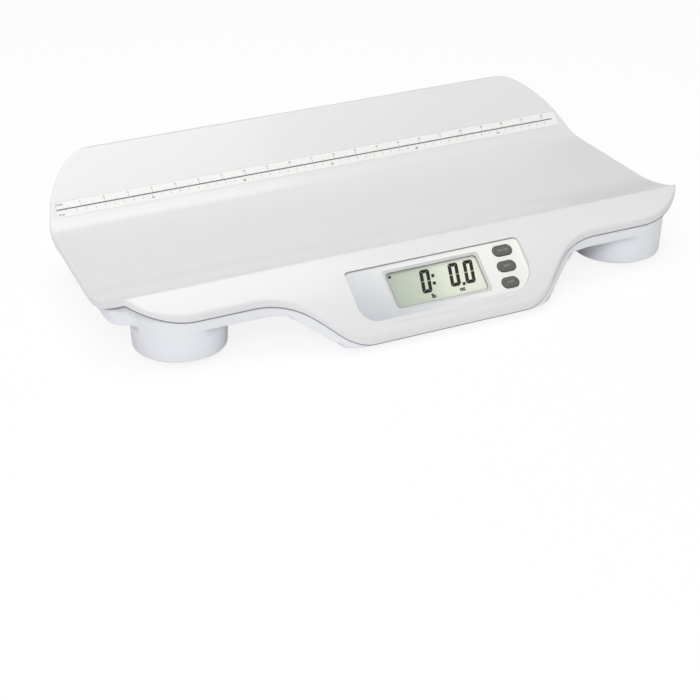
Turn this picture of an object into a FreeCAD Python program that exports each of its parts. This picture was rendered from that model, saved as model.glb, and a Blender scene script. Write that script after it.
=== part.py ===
import FreeCAD, Part
import math
import os
import re

import Sketcher
from FreeCAD import Placement, Rotation, Vector

# Digital baby scale: a trough-shaped tray over a shallow base with four round foot pods
# and a display housing at the front. Millimetres. X runs along the tray, +Y to the back
# edge, +Z up. The origin is on the ground, in the middle of the footprint.

doc = FreeCAD.newDocument("BabyScale")
sheet = doc.addObject("Spreadsheet::Sheet", "Sizes")

# ---------------------------------------------------------------- driving sizes
sizes = {
    # how far tools pass the faces they cut, and joined pieces reach into each other
    "overlap": 1.0,
    # plan outline of the tray
    "overallWidth": 625.0,
    "overallDepth": 335.0,
    "frontCornerRadius": 72.0,
    "backCornerRadius": 88.0,
    "sideTaper": 4.2,  # degrees, the sides close in towards the back
    "bulgeReach": 41.5,  # the display housing stands this far in front of the pods
    "bulgeFlat": 81.0,  # half length of its straight front
    "bulgeAngle": 37.0,
    "bulgeOuterRadius": 60.0,
    "bulgeInnerRadius": 83.0,
    # section of the tray, front to back
    "creaseSetback": 71.5,
    "creaseHeight": 70.4,
    "apronSlope": 21.3,
    "apronRadius": 155.0,
    "creaseRise": 31.8,
    "troughRadius": 132.2,
    "floorSlope": 4.0,
    "bendRadius": 38.0,
    "backSlope": 42.5,
    "rulerSetback": 52.0,
    "rulerHeight": 73.7,
    "lipRadius": 5.0,
    # shells
    "shellWall": 3.2,  # measured straight down
    "rimHeight": 8.0,
    "rimWall": 2.6,
    "seamGap": 0.4,
    "baseWall": 4.0,
    "baseFloor": 3.0,
    "baseInset": 7.0,  # at the sides
    "undersideHeight": 36.8,
    "bulgeUnderside": 5.7,
    "bulgeFootHalf": 108.0,
    "bulgeTopHalf": 155.0,
    "bulgeDepth": 69.5,
    "bulgeWall": 3.2,
    "bulgeEdge": 2.0,
    "baseEdge": 1.2,
    # foot pods, the same size in front and behind
    "podUnderside": 7.0,
    "podRadius": 44.0,
    "podDraft": 4.0,  # how much a pod would widen up to the height of the crease
    "podWall": 3.0,
    "podEdge": 2.2,
    "backPodSetback": 62.5,
    # feet and load cells
    "padRadius": 27.0,
    "padHeight": 5.0,
    "padEdge": 1.2,
    "cupRadius": 26.2,
    "cupWall": 2.2,
    "cupFlange": 4.6,
    "footClearance": 0.9,
    "stubRadius": 6.0,
    "stubHeight": 4.5,
    "cellSide": 34.0,
    "cellThickness": 3.0,
    "cellSlot": 2.0,
    "cellTongue": 15.0,
    "cellCorner": 2.0,
    "shimWidth": 5.0,
    "shimThickness": 3.0,
    "bracketLength": 79.0,
    "bracketWidth": 24.0,
    "bracketThickness": 3.0,
    "bracketCorner": 3.0,
    "bracketBossRadius": 4.4,
    "bracketHoleSpread": 36.0,
    # screws
    "screwRadius": 1.6,
    "screwClearance": 0.1,
    "screwHeadRadius": 3.4,
    "screwHeadHeight": 2.2,
    "screwLength": 6.6,
    "smallScrewRadius": 1.1,
    "smallScrewHeadRadius": 2.7,
    "smallScrewHeadHeight": 1.5,
    "smallScrewLength": 4.2,
    "tipRoom": 0.5,
    "bossRadius": 4.8,
    "screwBossHeight": 5.0,
    "bossLand": 1.4,
    "headClearance": 0.3,
    "headRecess": 0.4,
    "outerScrewSpread": 150.0,
    "innerScrewSpread": 62.0,
    "frontScrewOffset": -50.0,
    "middleScrewOffset": 60.0,
    "backScrewOffset": 100.0,
    # printed measuring strip
    "stripLength": 578.0,
    "stripWidth": 16.5,
    "stripThickness": 0.5,
    "stripClearance": 0.15,
    # display plate, in its own tilted plane
    "displaySetback": 30.6,
    "displayHeight": 41.6,
    "displayAngle": 39.9,
    "plateLeft": 87.0,
    "plateRight": 98.0,
    "plateHalf": 27.0,
    "plateTopRadius": 5.0,
    "plateLeftRadius": 18.0,
    "plateRightRadius": 26.0,
    "plateThickness": 1.5,
    "plateClearance": 0.25,
    "shelfWidth": 2.0,
    "shelfThickness": 2.0,
    "shelfBond": 3.0,  # how far the shelf runs on under the tray round the plate
    "windowOffset": 0.0,
    "windowRise": 2.0,
    "windowWidth": 102.4,
    "windowHeight": 39.4,
    "windowRadius": 3.0,
    "bezelBorder": 2.8,
    "bezelRecess": 0.2,
    "bezelFlange": 2.0,
    "flangeThickness": 1.1,
    "lensRecess": 0.4,
    "fitGap": 0.12,
    "lcdThickness": 2.4,
    "lcdMargin": 0.8,
    "displayBoardDepth": 9.0,
    "boardThickness": 1.6,
    "boardCorner": 2.0,
    "displayBoardOffset": 3.0,
    "displayBoardHalfWidth": 84.0,
    "displayBoardHalfHeight": 29.0,
    "zebraWidth": 2.4,
    "zebraEnd": 6.0,
    "displayPostLeft": 60.0,
    "displayPostRight": 57.0,
    "driverLength": 16.0,
    "chipHeight": 1.6,
    # push buttons
    "buttonTopX": 78.1,
    "buttonTopRise": 16.8,
    "buttonTopLength": 20.8,
    "buttonMiddleX": 75.9,
    "buttonMiddleRise": 0.0,
    "buttonMiddleLength": 19.8,
    "buttonLowX": 72.9,
    "buttonLowRise": -17.2,
    "buttonLowLength": 18.2,
    "buttonHeight": 11.0,
    "buttonProud": 1.3,
    "buttonEdge": 0.9,
    "buttonClearance": 0.3,
    "buttonFlange": 1.0,
    "buttonFlangeGap": 0.4,
    "buttonTravel": 0.8,
    "stemRadius": 2.6,
    "stemClearance": 0.1,
    "keyMatThickness": 1.0,
    "keyMatMargin": 2.0,
    "keyDomeHeight": 0.6,
    "keyDomeRadius": 4.2,
    "keyDomeTopRadius": 2.9,
    # batteries, their box and the sliding door
    "cellDiameter": 14.4,
    "cellLength": 50.0,
    "cellSpacing": 15.2,
    "cellSlack": 0.1,
    "cellCapRadius": 2.7,
    "cellCapHeight": 1.0,
    "contactRoom": 4.0,
    "contactWidth": 10.0,
    "contactHeight": 10.0,
    "contactFoot": 2.0,
    "contactThickness": 0.6,
    "contactFlange": 1.0,
    "leafThickness": 0.4,
    "leafWidth": 7.0,
    "leafHeight": 9.0,
    "leafTail": 2.7,
    "boxWall": 1.8,
    "doorThickness": 2.4,
    "doorLip": 1.2,
    "doorFlange": 4.0,
    "doorClearance": 0.3,
    "doorRoom": 0.6,
    "gripHalf": 14.0,
    "gripSetback": 7.0,
    "gripPitch": 3.0,
    "gripWidth": 1.0,
    "gripDepth": 0.6,
    # electronics in the base
    "mainBoardWidth": 86.0,
    "mainBoardDepth": 54.0,
    "mainBoardOffset": 42.0,
    "boardHoleInset": 4.0,
    "converterX": -5.0,
    "converterLength": 14.0,
    "converterWidth": 10.0,
    "controllerX": 14.0,
    "controllerSide": 12.0,
    "buzzerX": -26.0,
    "buzzerRadius": 5.0,
    "buzzerHeight": 3.0,
    "standoffHeight": 3.0,
    "standoffRadius": 3.2,
    "jackOffset": 120.0,
    "jackHeight": 55.0,
    "jackRadius": 5.5,
    "jackBore": 2.9,
    "jackPin": 1.0,
    "jackWidth": 14.0,
    "jackLength": 12.0,
    "jackFoot": 6.0,
    "jackRecess": 0.6,
    "jackBoreDepth": 8.0,
    "jackPinReach": 1.0,
    "leadRadius": 1.2,
    "leadBend": 5.0,
    "leadClearance": 0.3,
    "leadReach": 11.0,
    "leadInset": 3.0,
    "leadStep": 6.0,
    "leadRise": 10.0,
    "leadFall": 8.0,
    "jackLeadDrop": 3.0,
    "socketWidth": 8.0,
    "socketDepth": 6.0,
    "socketHeight": 3.0,
    "socketSpread": 10.0,
    "socketInset": 1.5,
    "batterySocketX": 27.0,
    "ribbonWidth": 16.0,
    "ribbonThickness": 0.8,
    "ribbonRise": 10.0,
    "ribbonRun": 5.0,
    "ribbonSetback": 2.0,
    "ribbonLift": 8.0,
    "ribbonEntry": 1.0,
    "ribbonSocketInset": 0.5,
    "ribbonSocketDepth": 4.5,
    "headerWall": 1.0,
    "headerDepth": 6.0,
    "headerHeight": 2.5,
}

for row, (alias, number) in enumerate(sizes.items(), start=1):
    sheet.set(f"A{row}", alias)
    sheet.set(f"B{row}", str(number))
    sheet.setAlias(f"B{row}", alias)
doc.recompute()

aliasPattern = re.compile(r"\b(" + "|".join(sizes) + r")\b")


def bind(thing, prop, text):
    """Binds a property to an expression on the sheet's cells."""
    thing.setExpression(prop, aliasPattern.sub(r"Sizes.\1", text))


def value(text):
    """The present value of an expression on the sheet's cells."""
    return float(sheet.evalExpression(text))


# ---------------------------------------------------------------- derived places
front = "(-overallDepth/2)"
back = "(overallDepth/2)"
podFront = f"({front}+bulgeReach)"
creaseY = f"({front}+creaseSetback)"
bulgeBack = f"({front}+bulgeDepth)"
podCorner = "(podRadius+podDraft/2)"
frontPodX = "(overallWidth/2-frontCornerRadius)"
frontPodY = f"({podFront}+{podCorner})"
backPodY = f"({back}-backPodSetback)"
backPodX = f"({frontPodX}-({backPodY}-{frontPodY})*tan(sideTaper))"
baseRear = f"(backPodSetback-{podCorner})"
rulerY = f"({back}-rulerSetback)"
floorTop = "(undersideHeight+baseFloor)"

apronCentreY = f"({creaseY}+apronRadius*sin(apronSlope))"
apronCentreZ = "(creaseHeight-apronRadius*cos(apronSlope))"


def apronHeight(y):
    """Height of the apron's surface at a distance y."""
    return f"({apronCentreZ}+sqrt(apronRadius^2-({y}-{apronCentreY})^2))"


troughCentreY = f"({creaseY}+troughRadius*sin(creaseRise))"
troughCentreZ = "(creaseHeight+troughRadius*cos(creaseRise))"
floorY = f"({troughCentreY}+troughRadius*sin(floorSlope))"
floorZ = f"({troughCentreZ}-troughRadius*cos(floorSlope))"
bendY = (
    f"(({floorZ}-rulerHeight-tan(floorSlope)*{floorY}+tan(backSlope)*{rulerY})"
    "/(tan(backSlope)-tan(floorSlope)))"
)
bendZ = f"({floorZ}+tan(floorSlope)*({bendY}-{floorY}))"
bendTangent = "(bendRadius*tan((backSlope-floorSlope)/2))"
bendStartY = f"({bendY}-{bendTangent}*cos(floorSlope))"
bendStartZ = f"({bendZ}-{bendTangent}*sin(floorSlope))"
bendEndY = f"({bendY}+{bendTangent}*cos(backSlope))"
bendEndZ = f"({bendZ}+{bendTangent}*sin(backSlope))"
lipY = f"({back}-lipRadius*(1+sin(backSlope)))"
lipZ = f"(rulerHeight+tan(backSlope)*({lipY}-{rulerY}))"
lipCentreZ = f"({lipZ}-lipRadius*cos(backSlope))"
skyHeight = "(creaseHeight*2)"
deepFloor = "(-creaseHeight)"
aboveDisplay = "plateHalf"

# tilted plane of the display plate's face
displayY = f"({front}+displaySetback)"

# ---------------------------------------------------------------- makers
near = 0.01  # slack when edges are picked by their place


def place(thing, x="0", y="0", z="0"):
    for axis, text in zip("xyz", (x, y, z)):
        bind(thing, f"Placement.Base.{axis}", text)
    return thing


def box(name, x0, x1, y0, y1, z0, z1):
    thing = doc.addObject("Part::Box", name)
    for prop, low, high in (("Length", x0, x1), ("Width", y0, y1), ("Height", z0, z1)):
        bind(thing, prop, f"({high})-({low})")
    return place(thing, x0, y0, z0)


def cylinder(name, radius, height, x, y, z, turn=None):
    thing = doc.addObject("Part::Cylinder", name)
    if turn:
        thing.Placement = Placement(Vector(), turn)
    bind(thing, "Radius", radius)
    bind(thing, "Height", height)
    return place(thing, x, y, z)


def cone(name, low, high, height, x, y, z):
    thing = doc.addObject("Part::Cone", name)
    bind(thing, "Radius1", low)
    bind(thing, "Radius2", high)
    bind(thing, "Height", height)
    return place(thing, x, y, z)


def fuse(name, things):
    thing = doc.addObject("Part::MultiFuse", name)
    thing.Shapes = things
    return thing


def cut(name, base, tools):
    thing = doc.addObject("Part::Cut", name)
    thing.Base = base
    thing.Tool = tools[0] if len(tools) == 1 else fuse(name + "Tools", tools)
    return thing


def common(name, first, second):
    thing = doc.addObject("Part::Common", name)
    thing.Base = first
    thing.Tool = second
    return thing


def rounded(name, base, radius, picked):
    """Rounds the edges whose bounding box passes a test."""
    doc.recompute()
    thing = doc.addObject("Part::Fillet", name)
    thing.Base = base
    size = value(radius)
    edges = enumerate(base.Shape.Edges, start=1)
    thing.Edges = [(n, size, size) for n, edge in edges if picked(edge.BoundBox)]
    return thing


def group(name, things):
    """Separate solids that share one node."""
    thing = doc.addObject("Part::Compound", name)
    thing.Links = things
    return thing


def contour(sketch, steps):
    """Closed outline through (x, y, radius) steps. The radius belongs to the edge that
    reaches the step: 0 is straight, positive turns left and negative turns right."""
    points = [Vector(value(x), value(y), 0) for x, y, _ in steps]
    ends = []
    for n, (_, _, radius) in enumerate(steps):
        start, end = points[n - 1], points[n]
        bend = value(radius)
        if bend == 0:
            ends.append((sketch.addGeometry(Part.LineSegment(start, end)), 1, 2))
            continue
        chord = end - start
        middle = (start + end) * 0.5
        left = Vector(-chord.y, chord.x, 0).normalize()
        rise = math.sqrt(max(bend * bend - chord.Length ** 2 / 4, 0.0))
        centre = middle + left * math.copysign(rise, bend)
        first, last = (start, end) if bend > 0 else (end, start)
        angles = [math.atan2(p.y - centre.y, p.x - centre.x) for p in (first, last)]
        circle = Part.Circle(centre, Vector(0, 0, 1), abs(bend))
        arc = sketch.addGeometry(Part.ArcOfCircle(circle, *angles))
        ends.append((arc, 1, 2) if bend > 0 else (arc, 2, 1))
        named = sketch.addConstraint(Sketcher.Constraint("Radius", arc, abs(bend)))
        sketch.renameConstraint(named, f"radius{n}")
        bind(sketch, f"Constraints.radius{n}", f"abs({radius})")
    for n, (x, y, _) in enumerate(steps):
        geo, _, tip = ends[n]
        following, root, _ = ends[(n + 1) % len(steps)]
        sketch.addConstraint(Sketcher.Constraint("Coincident", geo, tip, following, root))
        for kind, text, at in (("DistanceX", x, points[n].x), ("DistanceY", y, points[n].y)):
            named = sketch.addConstraint(Sketcher.Constraint(kind, geo, tip, at))
            sketch.renameConstraint(named, f"{kind}{n}")
            bind(sketch, f"Constraints.{kind}{n}", text)


def prism(name, steps, low, high, turn=None, direction=Vector(0, 0, 1)):
    """A contour in its own plane, extruded from low to high along a direction."""
    sketch = doc.addObject("Sketcher::SketchObject", name + "Sketch")
    if turn:
        sketch.Placement = Placement(Vector(), turn)
    contour(sketch, steps)
    thing = doc.addObject("Part::Extrusion", name)
    thing.Base = sketch
    thing.DirMode = "Custom"
    thing.Dir = direction
    thing.Solid = True
    bind(thing, "LengthFwd", high)
    bind(thing, "LengthRev", f"-({low})")
    return thing


def padBody(name, steps, thickness, holes=()):
    """A flat piece: a body with one padded sketch, its holes pocketed through."""
    body = doc.addObject("PartDesign::Body", name)
    planes = {feature.Role: feature for feature in body.Origin.OriginFeatures}
    sketch = body.newObject("Sketcher::SketchObject", name + "Sketch")
    sketch.AttachmentSupport = [(planes["XY_Plane"], "")]
    sketch.MapMode = "FlatFace"
    contour(sketch, steps)
    pad = body.newObject("PartDesign::Pad", name + "Pad")
    pad.Profile = sketch
    bind(pad, "Length", thickness)
    for n, hole in enumerate(holes):
        opening = body.newObject("Sketcher::SketchObject", f"{name}Hole{n}Sketch")
        opening.AttachmentSupport = [(planes["XY_Plane"], "")]
        opening.MapMode = "FlatFace"
        if len(hole) == 3 and isinstance(hole[0], str):
            ring(opening, *hole)
        else:
            contour(opening, hole)
        pocket = body.newObject("PartDesign::Pocket", f"{name}Hole{n}")
        pocket.Profile = opening
        pocket.Type = "ThroughAll"
        pocket.Midplane = True
    return body


def ring(sketch, x, y, radius):
    """One circle in a sketch."""
    centre = Vector(value(x), value(y), 0)
    geo = sketch.addGeometry(Part.Circle(centre, Vector(0, 0, 1), value(radius)))
    rules = (
        ("ringRadius", Sketcher.Constraint("Radius", geo, value(radius)), radius),
        ("ringX", Sketcher.Constraint("DistanceX", geo, 3, centre.x), x),
        ("ringY", Sketcher.Constraint("DistanceY", geo, 3, centre.y), y),
    )
    for name, rule, text in rules:
        sketch.renameConstraint(sketch.addConstraint(rule), name)
        bind(sketch, f"Constraints.{name}", text)


def rectangle(halfX, halfY, x="0", y="0", radius="0"):
    """Steps of a rectangle about (x, y), with rounded corners if a radius is given."""
    right, left = f"({x}+({halfX}))", f"({x}-({halfX}))"
    top, low = f"({y}+({halfY}))", f"({y}-({halfY}))"
    if radius == "0":
        return [(right, low, "0"), (right, top, "0"), (left, top, "0"), (left, low, "0")]
    return [
        (f"{right}-({radius})", low, "0"),
        (right, f"{low}+({radius})", radius),
        (right, f"{top}-({radius})", "0"),
        (f"{right}-({radius})", top, radius),
        (f"{left}+({radius})", top, "0"),
        (left, f"{top}-({radius})", radius),
        (left, f"{low}+({radius})", "0"),
        (f"{left}+({radius})", low, radius),
    ]


def tilt(thing, depth="0", x="0", rise="0"):
    """Stands a piece made flat onto the display's plane, a depth along its normal."""
    thing.Placement = Placement(Vector(), Rotation(Vector(1, 0, 0), value("displayAngle")))
    bind(thing, "Placement.Rotation.Angle", "displayAngle")
    return place(thing, x, *inDisplay(rise, depth))


def inDisplay(rise, depth):
    """World (y, z) of a point in the display's plane."""
    along, across = "cos(displayAngle)", "sin(displayAngle)"
    return (
        f"({displayY}+({rise})*{along}-({depth})*{across})",
        f"(displayHeight+({rise})*{across}+({depth})*{along})",
    )


nodes = []


def keep(thing, node):
    thing.Label = node
    nodes.append(thing)
    return thing


# ---------------------------------------------------------------- tray section and plan
sectionTurn = Rotation(Vector(1, 1, 1), 120)  # sketch X to world Y, sketch Y to world Z
alongX = Vector(1, 0, 0)


def underTray(name, drop):
    """Everything below the tray's surface lowered by a drop."""
    frontEnd = f"({front}-lipRadius)"
    reach = "overallWidth/2+lipRadius"
    steps = [
        (frontEnd, deepFloor, "0"),
        (back, deepFloor, "0"),
        (back, f"{lipCentreZ}-({drop})", "0"),
        (lipY, f"{lipZ}-({drop})", "lipRadius"),
        (bendEndY, f"{bendEndZ}-({drop})", "0"),
        (bendStartY, f"{bendStartZ}-({drop})", "-bendRadius"),
        (floorY, f"{floorZ}-({drop})", "0"),
        (creaseY, f"creaseHeight-({drop})", "-troughRadius"),
        (frontEnd, f"{apronHeight(frontEnd)}-({drop})", "apronRadius"),
    ]
    return prism(name, steps, f"-({reach})", reach, sectionTurn, alongX)


def mirrored(half):
    """Completes an outline given from the front middle round to the back middle."""
    other = []
    for n in range(len(half) - 1, -1, -1):
        x, y, _ = half[n]
        radius = half[n + 1][2] if n + 1 < len(half) else "0"
        other.append((f"-({x})", y, radius))
    return half + other


def plan(name, inFront, atSide, low, high, behind=None):
    """The tray's plan outline, drawn in by one amount in front and one at the sides.
    Behind holds an inset and a corner radius of their own for the back."""
    atBack, rear = behind or (atSide, f"(backCornerRadius-({atSide}))")
    outer = f"(bulgeOuterRadius-({inFront}))"
    inner = f"(bulgeInnerRadius+({inFront}))"
    drop = "(bulgeReach-(bulgeOuterRadius+bulgeInnerRadius)*(1-cos(bulgeAngle)))"
    bendRun = f"((bulgeOuterRadius+bulgeInnerRadius)*sin(bulgeAngle)+{drop}/tan(bulgeAngle))"
    bendStart = f"(bulgeFlat+{bendRun})"
    corner = f"(frontCornerRadius-({atSide}))"
    cornerX = frontPodX
    cornerY = f"({podFront}+({inFront})+{corner})"
    rearY = f"({back}-({atBack})-{rear})"
    rearX = f"({cornerX}-({rear}-{corner})/cos(sideTaper)-({rearY}-{cornerY})*tan(sideTaper))"
    outerEnd = f"{front}+bulgeOuterRadius-{outer}*cos(bulgeAngle)"
    innerEnd = f"{podFront}-bulgeInnerRadius+{inner}*cos(bulgeAngle)"
    half = [
        ("bulgeFlat", f"{front}+({inFront})", "0"),
        (f"bulgeFlat+{outer}*sin(bulgeAngle)", outerEnd, outer),
        (f"{bendStart}-{inner}*sin(bulgeAngle)", innerEnd, "0"),
        (bendStart, f"{podFront}+({inFront})", f"-{inner}"),
        (cornerX, f"{podFront}+({inFront})", "0"),
        (f"{cornerX}+{corner}*cos(sideTaper)", f"{cornerY}+{corner}*sin(sideTaper)", corner),
        (f"{rearX}+{rear}*cos(sideTaper)", f"{rearY}+{rear}*sin(sideTaper)", "0"),
        (rearX, f"{back}-({atBack})", rear),
    ]
    return prism(name, mirrored(half), low, high)


# ---------------------------------------------------------------- display outline
def plateOutline(grow):
    """Outline of the display plate in its own plane, grown by an amount."""
    left, right = f"(-plateLeft-({grow}))", f"(plateRight+({grow}))"
    top, low = f"(plateHalf+({grow}))", f"(-plateHalf-({grow}))"
    upper = f"(plateTopRadius+({grow}))"
    lowLeft, lowRight = f"(plateLeftRadius+({grow}))", f"(plateRightRadius+({grow}))"
    return [
        (f"{right}-{lowRight}", low, "0"),
        (right, f"{low}+{lowRight}", lowRight),
        (right, f"{top}-{upper}", "0"),
        (f"{right}-{upper}", top, upper),
        (f"{left}+{upper}", top, "0"),
        (left, f"{top}-{upper}", upper),
        (left, f"{low}+{lowLeft}", "0"),
        (f"{left}+{lowLeft}", low, lowLeft),
    ]


def displayPrism(name, steps, low, high):
    return tilt(prism(name, steps, low, high))


# ---------------------------------------------------------------- top shell
shellScrewPlaces = [
    (f"{side}{spread}", offset)
    for side in ("", "-")
    for spread, offset in (
        ("outerScrewSpread", "frontScrewOffset"),
        ("outerScrewSpread", "middleScrewOffset"),
        ("innerScrewSpread", "backScrewOffset"),
    )
]
bossFoot = "(undersideHeight+screwBossHeight)"
screwTop = "(undersideHeight+headRecess+screwHeadHeight+screwLength)"
smallHole = "(smallScrewRadius+screwClearance/2)"
smallHoleDepth = "(smallScrewLength-boardThickness+tipRoom)"


def makeTopShell():
    solid = underTray("traySurface", "0")
    skin = cut("traySkin", solid, [underTray("trayUnderside", "shellWall")])
    plate = common("trayPlate", skin, plan("trayPlan", "0", "0", "0", skyHeight))
    band = cut("rimBand", underTray("rimTop", "0"), [underTray("rimBottom", "rimHeight")])
    wall = cut(
        "rimRing",
        plan("rimOutside", "0", "0", "0", skyHeight),
        [plan("rimInside", "rimWall", "rimWall", deepFloor, f"{skyHeight}+overlap")],
    )
    skirt = common("rimSkirt", band, wall)
    shelf = common(
        "displayShelf",
        displayPrism("shelfBlock", plateOutline("shelfBond"), "-plateThickness-shelfThickness", aboveDisplay),
        underTray("shelfLimit", "0"),
    )
    posts = []
    for n, (x, rise) in enumerate(displayPosts):
        height = "displayBoardDepth-plateThickness"
        post = cylinder(f"displayPost{n}", "standoffRadius", height, "0", "0", "0")
        posts.append(tilt(post, "-displayBoardDepth", x, rise))
    bosses = [
        cylinder(f"trayBoss{n}", "bossRadius", f"{skyHeight}-{bossFoot}", x, y, bossFoot)
        for n, (x, y) in enumerate(shellScrewPlaces)
    ]
    bossBody = common("trayBosses", fuse("trayBossRods", bosses), underTray("bossLimit", "shellWall/2"))
    shell = fuse("trayBody", [plate, skirt, shelf, bossBody] + posts)
    tools = [
        displayPrism("platePocket", plateOutline("plateClearance"), "-plateThickness", aboveDisplay),
        displayPrism(
            "displayOpening",
            plateOutline("-shelfWidth"),
            "-plateThickness-shelfThickness-overlap",
            aboveDisplay,
        ),
        stripTool("stripPocket", "stripClearance"),
    ]
    for n, (x, rise) in enumerate(displayPosts):
        hole = cylinder(f"postHole{n}", smallHole, f"{smallHoleDepth}+overlap", "0", "0", "0")
        tools.append(tilt(hole, "-displayBoardDepth-overlap", x, rise))
    for n, (x, y) in enumerate(shellScrewPlaces):
        depth = f"{screwTop}+tipRoom-{bossFoot}"
        tools.append(cylinder(f"bossHole{n}", "screwRadius+screwClearance/2", depth, x, y, bossFoot))
    return keep(cut("topShell", shell, tools), "top_shell")


displayPosts = [
    ("-displayPostLeft", "plateHalf"),
    ("displayPostRight", "plateHalf"),
    ("-displayPostLeft", "-plateHalf"),
    ("displayPostRight", "-plateHalf"),
]


def stripTool(name, gap):
    """Space of the printed strip in the back slope, lying flush with its surface."""
    thing = box(
        name,
        f"-stripLength/2-{gap}",
        f"stripLength/2+{gap}",
        "0",
        f"stripWidth+2*{gap}",
        "0",
        "stripThickness" if gap == "0" else "stripThickness+overlap",
    )
    thing.Placement = Placement(Vector(), Rotation(Vector(1, 0, 0), value("backSlope")))
    bind(thing, "Placement.Rotation.Angle", "backSlope")
    half = f"(stripWidth/2+{gap})"
    return place(
        thing,
        f"-stripLength/2-{gap}",
        f"{rulerY}-{half}*cos(backSlope)+stripThickness*sin(backSlope)",
        f"rulerHeight-{half}*sin(backSlope)-stripThickness*cos(backSlope)",
    )


makeTopShell()
keep(stripTool("measuringStrip", "0"), "measuring_strip")

# ---------------------------------------------------------------- base shell
corners = {
    "front_left": (f"(-{frontPodX})", frontPodY),
    "front_right": (frontPodX, frontPodY),
    "back_left": (f"(-{backPodX})", backPodY),
    "back_right": (backPodX, backPodY),
}
podFloor = "(podUnderside+podWall)"
cupTop = f"({podFloor}+footClearance+cupWall)"
cellBottom = f"({cupTop}+stubHeight)"
cellTop = f"({cellBottom}+cellThickness)"
bracketBottom = f"({cellTop}+shimThickness)"
bracketTop = f"({bracketBottom}+bracketThickness)"

batteryFrontY = f"({bulgeBack}-baseWall-2*cellSpacing-2*boxWall)"
boxHalf = "(cellLength+contactRoom+boxWall)"
boxFloor = "(bulgeUnderside+baseFloor)"
boxTop = f"({boxFloor}+cellDiameter+doorRoom+boxWall)"
doorHalf = "(cellLength+contactRoom)"
flangeHalf = f"({doorHalf}+doorFlange)"
doorTop = "(bulgeUnderside+doorThickness)"
flangeLow = "(bulgeUnderside+doorLip)"


def bulgeProfile(inset, low):
    """Cross-section of the display housing, seen from the front, drawn in by an inset."""
    slopeRun = "(bulgeTopHalf-bulgeFootHalf)/(undersideHeight-bulgeUnderside)"
    roof = f"({floorTop}+overlap)"
    foot = f"(bulgeFootHalf-({inset}))"
    top = f"({foot}+{slopeRun}*({roof}-({low})))"
    return [(foot, low, "0"), (top, roof, "0"), (f"-{top}", roof, "0"), (f"-{foot}", low, "0")]


def bulgeSolid(name, inset, low, rear):
    upright = Rotation(Vector(1, 0, 0), 90)
    start, end = f"-({rear})", "overallDepth/2+lipRadius"
    return prism(name, bulgeProfile(inset, low), start, end, upright, Vector(0, -1, 0))


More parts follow.
